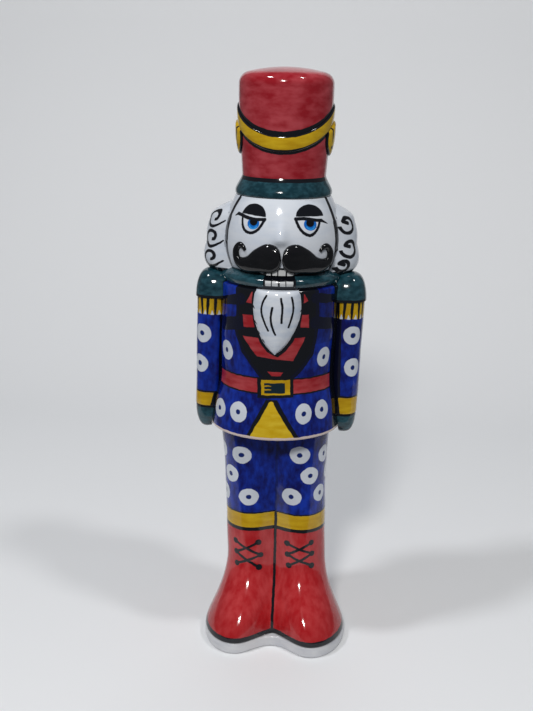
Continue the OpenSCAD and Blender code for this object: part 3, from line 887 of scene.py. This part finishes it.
rings = []
for z in [mix(head_z, head_top, t) for t in steps_to(1, head_levels)]:
    ring = []
    for a in full_turn(head_steps):
        turn = math.remainder(a, math.tau)
        r = head_radius(z) + nose(turn, z) + lips(turn, z)
        ring.append((r * math.sin(a), -r * math.cos(a), z))
    rings.append(ring)
glaze = fired("white_head", face_white, face_shade, amount=0.6)
roll_out(glaze, head_r, waver=0.5)
for eye in eyes:
    dot(glaze, eye.brow, eye.brow_half)
    patch(glaze, eye.white, face_white)
    dot(glaze, eye.iris, eye.iris_half, iris_blue)
    arc(glaze, eye.iris, glint_r, glint_from, glint_sweep, glint_widths, iris_pale)
    dot(glaze, eye.pupil, pupil_half, pupil_black)
    line(glaze, eye.rim, rim_line)
    line(glaze, eye.lid[1:], lid_line)
    stroke(glaze, eye.lid[0], eye.lid[1], lash_widths)
for edge in cheek_lines:
    for (first, last), half in cheek_widths.items():
        line(glaze, edge[first:last], half)
patch(glaze, upper_mouth)
teeth(glaze, upper_teeth, *upper_tooth_z)
for side in sides.values():
    stroke(glaze, (side * jaw_from[0], jaw_from[1]), (side * jaw_to[0], jaw_to[1]), jaw_widths)
dress("head", *walls(rings), glaze, "white_glaze")


# Hair: two white side locks that hang from the hat to the shoulders and meet at the back of the head.
# Pressed in a mould and luted on; the curls are drawn on in black, each a spiral with a loose end.
seat_sink = 0.15


def pushed_out(point, radius):
    """The point, or the spot on a round carrier's face that it moves out to, if it lies inside."""
    x, y, z = point
    least = radius(z) - seat_sink
    reach = math.hypot(x, y)
    if reach >= least:
        return point
    return (x * least / reach, y * least / reach, z)


def polar(side, a, r, z):
    """Spot at radius r and at an angle in degrees from the front towards one side."""
    return (side * r * math.sin(math.radians(a)), -r * math.cos(math.radians(a)), z)


hair_low, hair_high = box_mm("hair_right")
hair_reach = {"left": head_r + 11.2, "right": head_r + 9.6}
hair_rear = head_r + 4
face_edge = 69
edge_fade = 20
hair_side = 105
hair_back = 180
hair_bend = 0.6
hair_shape = [(0, 0.97), (0.15, 1), (0.45, 0.97), (0.7, 0.935), (0.83, 0.85), (1, 0.57)]
hair_levels = 12
hair_steps = 60
seat_steps = 30
hair_girth = 36
lock_h = 11.4
lock_swell = 0.6
lock_fade = 4
tuck_h = 2.5
tuck_share = 0.04
back_columns = (112, 141, 169)
back_curl = 0.95
curls = {"left": [(-52.8, 226.8, 1), (-52.4, 216.7, 1), (-51.8, 206.6, 0.97)],
         "right": [(51.0, 225.8, 1), (51.0, 213.9, 1.03), (47.4, 205.4, 0.68)]}
curl_arcs = {"left": [((0, 0), (3.9, 4.0), 60, 230, (0.85, 0.8)),
                      ((0.9, 1.6), (2.1, 1.9), 62, -165, (0.9, 0.8))],
             "right": [((0, 0), (2.9, 4.8), 155, -325, (1.0, 0.85))]}
curl_tails = {"left": ((0.7, -4.0), (6.6, -0.4), (0.8, 0.6, 0.4), -0.5),
              "right": ((0.2, 0.6), (-2.4, 1.5), (0.95, 0.95, 0.95), 0)}
hair_line = 45.0
hair_foot_line = 1.4
cheek_z = 213


def hair_plan(a, side_reach):
    """Reach of the hair at an angle in degrees from the front."""
    if a < hair_side:
        turn = math.pi / 2 * (a - face_edge) / (hair_side - face_edge)
        return mix(chin_r, side_reach, math.sin(turn) ** hair_bend)
    return mix(side_reach, hair_rear, wave((a - hair_side) / (hair_back - hair_side)))


def hair_seat(z):
    return max(head_radius(z), collar_radius(z)) if z < head_z else head_radius(z)


def curl(glaze, name, u, z, size):
    """Paints one curl of the left or right lock, with its middle at u and z."""
    def at(place):
        return (u + place[0] * size, z + place[1] * size)

    for centre, radii, start, sweep, widths in curl_arcs[name]:
        arc(glaze, at(centre), [r * size for r in radii], start, sweep, widths)
    start, end, widths, bow = curl_tails[name]
    stroke(glaze, at(start), at(end), widths, bow=bow)


for name, side in sides.items():
    rings = []
    for t, swell in spline(hair_shape, hair_levels):
        z = mix(hair_low.z, hair_high.z, t)
        tuck = max(0, 1 - (z - hair_low.z) / tuck_h)
        swell *= 1 - tuck_share * tuck ** 2
        lock = lock_swell * abs(math.sin(math.pi * (hair_high.z - z) / lock_h)) * (1 - t ** lock_fade)
        ring = []
        for a in [mix(face_edge, hair_back, k) for k in steps_to(1, hair_steps)]:
            reach = hair_plan(a, hair_reach[name]) * swell + lock * min(1, (a - face_edge) / edge_fade)
            ring.append(pushed_out(polar(side, a, reach, z), hair_seat))
        ring += [polar(side, mix(hair_back, face_edge, k), hair_seat(z) - seat_sink, z)
                 for k in steps_to(1, seat_steps)[1:-1]]
        rings.append(ring)
    glaze = fired("white_hair_" + name, face_white, face_shade, amount=0.7)
    roll_out(glaze, hair_girth, waver=0.7)
    for u, z, size in curls[name]:
        curl(glaze, name, u, z, size)
    for turn in back_columns:
        for _, z, _ in curls[name]:
            curl(glaze, name, side * hair_girth * math.radians(turn), z, back_curl)
    edge = band(glaze, glaze.round, -hair_line, hair_line)
    edge = reckon(glaze.tree, "MULTIPLY", edge, reckon(glaze.tree, "GREATER_THAN", glaze.height, cheek_z))
    lay(glaze, edge, line_black)
    stripe(glaze, glaze.height, hair_low.z - past_end, hair_low.z + hair_foot_line)
    dress("hair_" + name, *walls(rings), glaze, "white_glaze")


# Moustache: two plump halves that sweep out from under the nose and curl up at the tips.
# Modelled by hand as rolls of clay, pressed onto the face and glazed black.
moustache_z = head_z + 10
moustache_t = 3.4
moustache_half_w = 7.2
moustache_set = 1.6
moustache_reach = 22.8
moustache_steps = 8
moustache_round = 32
moustache_path = [(0.02, -0.005, 0.3), (0.05, -0.01, 0.54), (0.115, -0.024, 0.83), (0.265, -0.065, 1),
                  (0.47, -0.13, 0.86), (0.67, -0.222, 0.62), (0.82, -0.24, 0.48), (0.94, -0.185, 0.36),
                  (0.995, -0.075, 0.29), (0.995, 0.06, 0.26), (0.93, 0.162, 0.22), (0.85, 0.14, 0.18),
                  (0.795, 0.06, 0.12)]
moustache_black = screen(6, 7, 11)
moustache_thin = screen(22, 21, 24)
moustache_brush = (0.2, 0.2, 0.5)


def on_head(x, z):
    return Vector((x, -math.sqrt(max(head_radius(z) ** 2 - x ** 2, 1)), z))


for name, side in sides.items():
    path = spline(moustache_path, moustache_steps)
    places = [on_head(moustache_set + side * moustache_reach * x, moustache_z + moustache_reach * z)
              for x, z, _ in path]
    rings = []
    for i, place in enumerate(places):
        along = places[min(i + 1, len(places) - 1)] - places[max(i - 1, 0)]
        out = Vector((place.x, place.y, 0)).normalized()
        across = along.cross(out).normalized()
        half_w = path[i][2] * moustache_half_w
        ring = [place + across * half_w * math.cos(a) + out * min(half_w, moustache_t) * math.sin(a)
                for a in full_turn(moustache_round)]
        rings.append([pushed_out(tuple(p), head_radius) for p in ring])
    glaze = fired("black_moustache_" + name, moustache_black, moustache_thin, moustache_brush, amount=0.6)
    dress("moustache_" + name, *walls(rings), glaze, "black_glaze")


# Beard: a flat tongue of clay that hangs from the collar over the chest and ends in a point.
# Pressed on and left white, with four black brush strokes for the strands and short ones along its edges.
beard_low, beard_high = box_mm("beard")
beard_half_w = 12.2
beard_t = 3.6
beard_wall = 4.5
beard_levels = 8
beard_round = 72
beard_shade = screen(184, 196, 214)
beard_shape = [(1, 0.06, 0.4), (0.94, 0.3, 0.7), (0.8, 0.6, 0.9), (0.56, 0.88, 1), (0.33, 1, 1.1),
               (0.08, 0.97, 0.95), (0, 0.87, 0.6)]
strands = [[(-5.1, 193.8), (-7.2, 188.8), (-6.8, 183.6), (-4.1, 176.6)],
           [(-2.2, 188.3), (-2.9, 183.4), (-2.3, 178.8), (-0.8, 174.7)],
           [(1.5, 192.7), (2.2, 188.2), (1.8, 180.7)],
           [(6.3, 193.3), (7.2, 188.2), (6.5, 183.6), (5.1, 178.4)]]
strand_half = 0.5
notches = [((-12.6, 187.5), (-11.2, 186.5)), ((-11.6, 180.0), (-10.0, 178.8)),
           ((-9.8, 175.0), (-8.3, 174.0)), ((-7.0, 171.0), (-5.8, 169.8)),
           ((12.4, 186.5), (10.9, 185.6)), ((11.9, 181.0), (10.2, 180.0)),
           ((10.3, 176.6), (8.6, 175.4)), ((7.4, 171.2), (6.2, 169.8))]
notch_widths = (0.6, 0.4, 0.1)


def chest_seat(z):
    return collar_radius(z) if z > coat_top else coat_radius(z)


rings = []
for share, half_w, thick in spline(beard_shape, beard_levels):
    z = mix(beard_high.z, beard_low.z, share)
    ring = [(half_w * beard_half_w * math.cos(a),
             beard_wall - coat_r + (beard_wall + beard_t * thick) * math.sin(a), z)
            for a in full_turn(beard_round)]
    rings.append([pushed_out(p, chest_seat) for p in ring])
glaze = fired("white_beard", face_white, beard_shade, amount=0.9)
roll_out(glaze, coat_r, waver=0.6)
for start, end in notches:
    stroke(glaze, start, end, notch_widths)
for strand in strands:
    line(glaze, strand, strand_half, steps=3)
dress("beard", *walls(rings), glaze, "white_glaze")


# Arms: two straight sleeves luted along the sides of the coat, a little squarer than an oval in section.
# Cobalt with white ring dots, a painted yellow fringe under the shoulder, a yellow cuff, and dark painted
# shade on the inner side that faces the coat.
def blunted(t, power):
    return math.copysign(abs(t) ** power, t)


def sleeve_section(half_w, half_d, steps=60, square=0.85):
    return [(half_w * blunted(math.cos(a), square), half_d * blunted(math.sin(a), square))
            for a in full_turn(steps)]


arm_low, arm_high = box_mm("arm_right")
arm_half_w = 8.5
arm_half_d = 11
cuff_half_w = 7.8
cuff_half_d = 8
arm_x = arm_high.x - arm_half_w
arm_girth = 9.6
arm_foot_round = 0.6
arm_top_round = 0.3
arm_steps = 24
arm_dot = (4.8, 4.9)
arm_eye = 1.35
arm_dots = {"left": [(-5.3, 168.1), (-7.1, 151.7)], "right": [(2.5, 169.7), (3.3, 152.5)]}
dot_pitch = 12.4
dot_drops = (0, 8, 0)
arm_inner_shade = {"left": 3.6, "right": 3.2}
arm_inner_shade_back = 26.8
fringe_low = 178.4
fringe_pitch = 3.3
fringe_tufts = 9
fringe_brush = (0.4, 0.4, 0.1)
tuft_tip = [(-0.9, -0.2), (0.7, -0.2), (0, 2.2), (-0.2, 2.2)]
gap_top = 1.5
gap_foot = 1.3
gap_slant = 0.5
gap_turn = 2.4
gap_widths = (0.75, 0.65, 0.4)
cuff_top = 135.8
cuff_line = 1.0
cuff_drop = {"left": 0, "right": 1.8}
cuff_shade_edge = {"left": (-2.4, 0.8), "right": (-3.0, -4.3)}
cuff_shade_back = 33
cuff_foot = arm_low.z - 3
arm_ends = rolled(arm_low.z, arm_high.z, arm_foot_round, arm_top_round)
arm_foot = len(arm_ends) // 2
arm_sides = [(mix(arm_low.z, arm_high.z, t), 0) for t in steps_to(1, arm_steps)[1:-1]]
arm_levels = arm_ends[:arm_foot] + arm_sides + arm_ends[arm_foot:]
for name, side in sides.items():
    rings = []
    for z, inset in arm_levels:
        share = (z - arm_low.z) / (arm_high.z - arm_low.z)
        ring = sleeve_section(mix(cuff_half_w, arm_half_w, share) - inset,
                              mix(cuff_half_d, arm_half_d, share) - inset)
        z -= cuff_drop[name] * (1 - share) ** 2
        rings.append([pushed_out((side * (arm_x + x), y, z), coat_radius) for x, y in ring])
    glaze = fired("blue_arm_" + name, cobalt, cobalt_thin, cobalt_brush)
    roll_out(glaze, arm_girth, side * arm_x, waver=0.7)
    for u, z in arm_dots[name]:
        for i, drop in enumerate(dot_drops):
            ring_dot(glaze, (u + side * i * dot_pitch, z - drop), arm_dot, arm_eye)
    # Dark navy over the inner side of the sleeve, where it faces the coat: painted shade of the gap between
    # sleeve and coat.
    stripe(glaze, glaze.round, *sorted((-side * arm_inner_shade[name], -side * arm_inner_shade_back)), frog_navy)
    fringe = brushed(glaze, yellow, yellow_thin, fringe_brush)
    stripe(glaze, glaze.height, fringe_low, arm_high.z + past_end, fringe)
    for i in range(-fringe_tufts, fringe_tufts + 1):
        u = fringe_pitch * i
        patch(glaze, [(u + x, fringe_low + z) for x, z in tuft_tip], dot_white)
        foot_u = u + gap_foot + gap_slant * math.sin(gap_turn * i)
        stroke(glaze, (u + gap_top, arm_high.z), (foot_u, fringe_low), gap_widths)
    stripe(glaze, glaze.height, cuff_top, cuff_top + cuff_line)
    stripe(glaze, glaze.height, cuff_foot, cuff_top, brushed(glaze, yellow, yellow_thin))
    # Black over the inner part of the cuff, where it turns towards the coat: painted shade of the gap, wider
    # towards the foot.
    foot_u, top_u = cuff_shade_edge[name]
    back_u = -side * cuff_shade_back
    shade_top = cuff_top + cuff_line / 2
    corners = [(foot_u, cuff_foot), (back_u, cuff_foot), (back_u, shade_top), (top_u, shade_top)]
    patch(glaze, corners[::-side])
    dress("arm_" + name, *walls(rings), glaze, "blue_glaze")


# Epaulettes and hands: the domed shoulder caps and the closed fists at the ends of the sleeves.
# Small press-moulded pieces in dark teal, each with a black line where it meets the sleeve.
dome_turn = math.radians(80)
dome_tip = 0.2
dome_steps = 14


def dome(section, low, high, blunt, tip_x=0.0):
    """Rings of a blunt dome over a sleeve's section, from its foot at low to its tip at high."""
    levels = [(math.cos(a) ** blunt, mix(low, high, math.sin(a))) for a in steps_to(dome_turn, dome_steps)]
    levels.append((dome_tip, high))
    return [[(mix(tip_x, x, scale), y * scale, z) for x, y in section] for scale, z in levels]


def dress_dome(node, side, rings, seat, line_low, line_high):
    """A teal dome on one arm, pushed clear of what it sits against, with its black line."""
    rings = [[pushed_out((side * (arm_x + x), y, z), seat) for x, y, z in ring] for ring in rings]
    glaze = fired("teal_" + node, teal, teal_thin, teal_brush)
    roll_out(glaze, arm_girth, side * arm_x, waver=0.6)
    stripe(glaze, glaze.height, line_low, line_high)
    dress(node, *walls(rings), glaze, "teal_glaze")


cap_low, cap_high = box_mm("epaulette_right")
cap_lap = 0.7
cap_in = 5
cap_blunt = 0.6
cap_line = 1.3
cap_stretch = 1 + cap_in / (arm_half_w + cap_lap)
cap_section = [(x * cap_stretch if x < 0 else x, y)
               for x, y in sleeve_section(arm_half_w + cap_lap, arm_half_d + cap_lap)]
hand_low, hand_high = box_mm("hand_right")
cuff_lap = 0.2
hand_blunt = 0.8
hand_tip = 2
hand_line = 1.1
hand_section = sleeve_section(cuff_half_w - cuff_lap, cuff_half_d - cuff_lap)
for name, side in sides.items():
    rings = dome(cap_section, cap_low.z, cap_high.z, cap_blunt)
    dress_dome("epaulette_" + name, side, rings, chest_seat, cap_low.z - past_end, cap_low.z + cap_line)
    wrist = hand_high.z - cuff_drop[name]
    rings = dome(hand_section, wrist, hand_low.z, hand_blunt, hand_tip)
    dress_dome("hand_" + name, side, rings, coat_radius, wrist - hand_line, wrist + past_end)


# Hat visor: the short band that flares over the brow and joins the hat to the head.
# Thrown as a ring in dark teal, with a black line where the crown stands on it.
visor_high = box_mm("hat_visor")[1]
crown_z = visor_high.z
visor_r = visor_high.x
visor_rim = head_top + 2.6
visor_round = 1.2
visor_curve = 0.35
visor_steps = 12
visor_line = 1.9
band_r = 21
visor_profile = [(visor_r - inset, z) for z, inset in rolled(head_top, visor_rim, visor_round, 0)]
visor_profile += [(mix(visor_r, band_r, mix(t, wave(t), visor_curve)), mix(visor_rim, crown_z, t))
                  for t in steps_to(1, visor_steps)[1:]]
glaze = fired("teal_visor", teal, teal_thin, teal_brush)
roll_out(glaze, visor_r, waver=0.6)
stripe(glaze, glaze.height, crown_z - visor_line, crown_z + past_end)
dress("hat_visor", *walls(lathe(visor_profile)), glaze, "teal_glaze")


# Hat crown: a tall hollow shako that widens to a rounded, slightly domed top.
# Cast in one piece and brushed with red glaze that runs thin in patches; black lines border the strap.
crown_high = box_mm("hat_crown")[1]
hat_top = crown_high.z
crown_h = hat_top - crown_z
crown_r = crown_high.x
crown_round = 6
crown_dome = 2.2
crown_shape = [(0, 0), (0.25, 0.17), (0.9, 0.6)]
crown_steps = 12
top_turn = math.radians(76)
strap_front = 16.5
strap_side = 32
strap_ease = 0.02
strap_w = 7
strap_line_low = strap_w / 2 + 2.5
strap_line_high = strap_w / 2 + 2.1
plaque_h = 19
plaque_w = 19
plaque_z = crown_z + 19.5
plaque_border = 1.0
hat_red = screen(146, 20, 32)
hat_pink = screen(182, 72, 80)
hat_brush = (0.13, 0.13, 0.3)
hat_thin = 0.85
crown_places = [(mix(band_r, crown_r, out), crown_z + up * crown_h) for out, up in crown_shape]
crown_side = spline(crown_places + [(crown_r, hat_top - crown_round - crown_dome)], crown_steps)
top_r = crown_r - crown_round * (1 - math.cos(top_turn))
top_fall = 1 / (2 * top_r * math.tan(top_turn))
edge_z = hat_top - top_fall * top_r ** 2 - crown_round * math.sin(top_turn)
crown_edge = [(crown_r - crown_round * (1 - math.cos(a)), edge_z + crown_round * math.sin(a))
              for a in steps_to(top_turn, crown_steps)[1:]]
crown_edge += [(top_r * (1 - t), hat_top - top_fall * (top_r * (1 - t)) ** 2)
               for t in steps_to(1, crown_steps)[1:-1]]

# Height above the middle of the strap, which dips across the front of the crown and runs level behind
strap_height, given, number, arrow, give = new_group("strap_height", {"Spot": "Vector"}, {"Above": "Float"})
across, back, up = split(strap_height, given["Spot"])
forward = number("MULTIPLY", back, -1 / crown_r)
smooth = number("SQRT", number("MULTIPLY_ADD", forward, forward, strap_ease))
dip = number("MULTIPLY", number("ADD", forward, smooth), (strap_side - strap_front) / 2)
give("Above", number("ADD", number("SUBTRACT", up, crown_z + strap_side), dip))


def above_strap(glaze):
    spot = join(glaze.tree, glaze.across, glaze.depth, glaze.height)
    return use(glaze.tree, strap_height, Spot=spot)["Above"]


glaze = fired("red_crown", hat_red, hat_pink, hat_brush, hat_thin)
roll_out(glaze, crown_r, waver=0.6)
stripe(glaze, above_strap(glaze), -strap_line_low, strap_line_high)
for side in sides.values():
    dot(glaze, (side * crown_r * math.pi / 2, plaque_z),
        (plaque_w / 2 + plaque_border, plaque_h / 2 + plaque_border))
dress("hat_crown", *walls(lathe(crown_side + crown_edge)), glaze, "red_glaze")


# Strap: a flat yellow band of clay that dips across the front of the hat like a chin strap.
# Rolled thin, wrapped round the crown and lined in black along both edges.
crown_radius = partial(radius_at, crown_side)
strap_t = 1.0
strap_half_h = 0.56 * strap_w
strap_square = 0.6
strap_sink = 0.25
strap_steps = 160
strap_round = 20
strap_edge = 0.55
strap_brush = (0.1, 0.1, 0.5)


def strap_middle(turn):
    """Height of the strap's middle at a turn from the front, on the face of the crown."""
    forward = math.cos(turn)
    dip = (forward + math.sqrt(forward ** 2 + strap_ease)) / 2
    return crown_z + strap_side - (strap_side - strap_front) * dip


rings = []
for turn in full_turn(strap_steps):
    ring = []
    for a in full_turn(strap_round):
        z = strap_middle(turn) + strap_half_h * blunted(math.cos(a), strap_square)
        stand = max(blunted(math.sin(a), strap_square), -strap_sink)
        r = crown_radius(z) + strap_t * stand
        ring.append((r * math.sin(turn), -r * math.cos(turn), z))
    rings.append(ring)
glaze = fired("yellow_strap", yellow, yellow_thin, strap_brush)
roll_out(glaze, crown_r, waver=0.4)
above = above_strap(glaze)
stripe(glaze, above, strap_w / 2 - strap_edge, strap_w)
stripe(glaze, above, -strap_w, strap_edge - strap_w / 2)
dress("hat_strap", *walls(rings, loop=True), glaze, "yellow_glaze")


# Plaques: two domed ovals on the sides of the hat, where the strap would be buttoned on.
# Pressed from a small mould, yellow with a black rim and two black flecks.
plaque_t = 2.4
plaque_foot = 0.5
plaque_rim = 0.45
plaque_turn = math.radians(88)
plaque_steps = 12
plaque_round = 64
strap_clear = 1.2
plaque_sink = 0.2
fleck_from = (6, 4)
fleck_to = (5, -2.5)
fleck_widths = (0.5, 0.6, 0.2)
fleck_spot = (4.4, -5)
fleck_half = (1.2, 0.9)
plaque_levels = [(1, -1)] + [(math.cos(a), mix(plaque_foot, plaque_t, math.sin(a)))
                             for a in steps_to(plaque_turn, plaque_steps)]
for name, side in sides.items():
    rings = []
    for share, stand in plaque_levels:
        ring = []
        for a in full_turn(plaque_round):
            turn = math.pi / 2 + share * plaque_w / 2 / crown_r * math.sin(a)
            z = plaque_z + share * plaque_h / 2 * math.cos(a)
            clear = (strap_middle(turn) - strap_w / 2 - z) / strap_clear
            r = crown_radius(z) + min(stand, stand * min(max(clear, -plaque_sink), 1))
            ring.append((side * r * math.sin(turn), -r * math.cos(turn), z))
        rings.append(ring)
    glaze = fired("yellow_plaque_" + name, line_black, line_black)
    roll_out(glaze, crown_r, waver=0.5)
    middle = side * crown_r * math.pi / 2
    bright = brushed(glaze, yellow, yellow_thin)
    dot(glaze, (middle, plaque_z), (plaque_w / 2 - plaque_rim, plaque_h / 2 - plaque_rim), bright)
    start, end, spot = [(middle - side * u, plaque_z + z) for u, z in (fleck_from, fleck_to, fleck_spot)]
    stroke(glaze, start, end, fleck_widths)
    dot(glaze, spot, fleck_half)
    dress("hat_plaque_" + name, *walls(rings), glaze, "yellow_glaze")


# Studio: a sheet of pale paper that lies as a floor and sweeps up behind into a backdrop, set out in metres.
# Three small soft lamps light the figure, and the camera stands a step away at the height of the hat.
floor_white = screen(236, 237, 239)
paper_rough = 0.7
sweep_half = 0.42
sweep_front = 0.12
sweep_back = 0.7
sweep_round = 0.35
sweep_top = 1.4
sweep_steps = 16
sweep_line = [(-sweep_front, 0.0), (sweep_back - sweep_round, 0.0)]
sweep_line += [(sweep_back - sweep_round * (1 - math.sin(a)), sweep_round * (1 - math.cos(a)))
               for a in steps_to(math.pi / 2, sweep_steps)[1:]]
sweep_line.append((sweep_back, sweep_top))
sweep_mesh = bpy.data.meshes.new("paper_sweep")
sweep_mesh.from_pydata([(x, y, z) for y, z in sweep_line for x in (-sweep_half, sweep_half)], [],
                       [(2 * i, 2 * i + 1, 2 * i + 3, 2 * i + 2) for i in range(len(sweep_line) - 1)])
sweep_mesh.polygons.foreach_set("use_smooth", [True] * len(sweep_mesh.polygons))
paper = bpy.data.materials.new("pale_paper")
paper.use_nodes = True
feed_all(paper.node_tree, paper.node_tree.nodes["Principled BSDF"],
         {"Base Color": floor_white, "Roughness": paper_rough})
sweep_mesh.materials.append(paper)
paper_sweep = bpy.data.objects.new("paper_sweep", sweep_mesh)
bpy.context.scene.collection.objects.link(paper_sweep)


def lamp(name, place, size, watts, tint):
    light = bpy.data.lights.new(name, "AREA")
    light.shape = "DISK"
    light.size = size
    light.energy = watts
    light.color = tint
    stand = bpy.data.objects.new(name, light)
    stand.location = place
    stand.rotation_euler = (chest - Vector(place)).to_track_quat("-Z", "Y").to_euler()
    bpy.context.scene.collection.objects.link(stand)


chest = Vector((0, 0, 0.17))
air_tint = (0.9, 0.95, 1, 1)
air_strength = 0.16
lamp("key_softbox", (-0.12, -1.25, 1.05), size=0.2, watts=12, tint=(1, 0.98, 0.95))
lamp("left_softbox", (-0.56, -0.33, 1.3), size=0.14, watts=5, tint=(0.95, 0.97, 1))
lamp("right_softbox", (0.56, -0.33, 1.3), size=0.14, watts=3.5, tint=(1, 1, 1))
world = bpy.data.worlds.new("studio_air")
world.use_nodes = True
feed_all(world.node_tree, world.node_tree.nodes["Background"], {"Color": air_tint, "Strength": air_strength})
bpy.context.scene.world = world
bpy.context.scene.view_settings.view_transform = "Standard"

picture_h = 711
focal_px = 1068
sensor_mm = 36
stand_off = 0.541
eye_h = 0.3
round_by = math.radians(3.4)
heading = math.radians(-4.183)
look_down = math.radians(15)
roll = math.radians(1.1)
view_data = bpy.data.cameras.new("photo_view")
view_data.sensor_width = sensor_mm
view_data.lens = focal_px / picture_h * sensor_mm
view = bpy.data.objects.new("photo_view", view_data)
forward = Vector((math.sin(heading) * math.cos(look_down), math.cos(heading) * math.cos(look_down),
                  -math.sin(look_down)))
level_right = Vector((math.cos(heading), -math.sin(heading), 0))
right = math.cos(roll) * level_right + math.sin(roll) * level_right.cross(forward)
up = right.cross(forward)
stand = Matrix.Translation((stand_off * math.sin(round_by), -stand_off * math.cos(round_by), eye_h))
view.matrix_world = stand @ Matrix((right, up, -forward)).transposed().to_4x4()
bpy.context.scene.collection.objects.link(view)
bpy.context.scene.camera = view
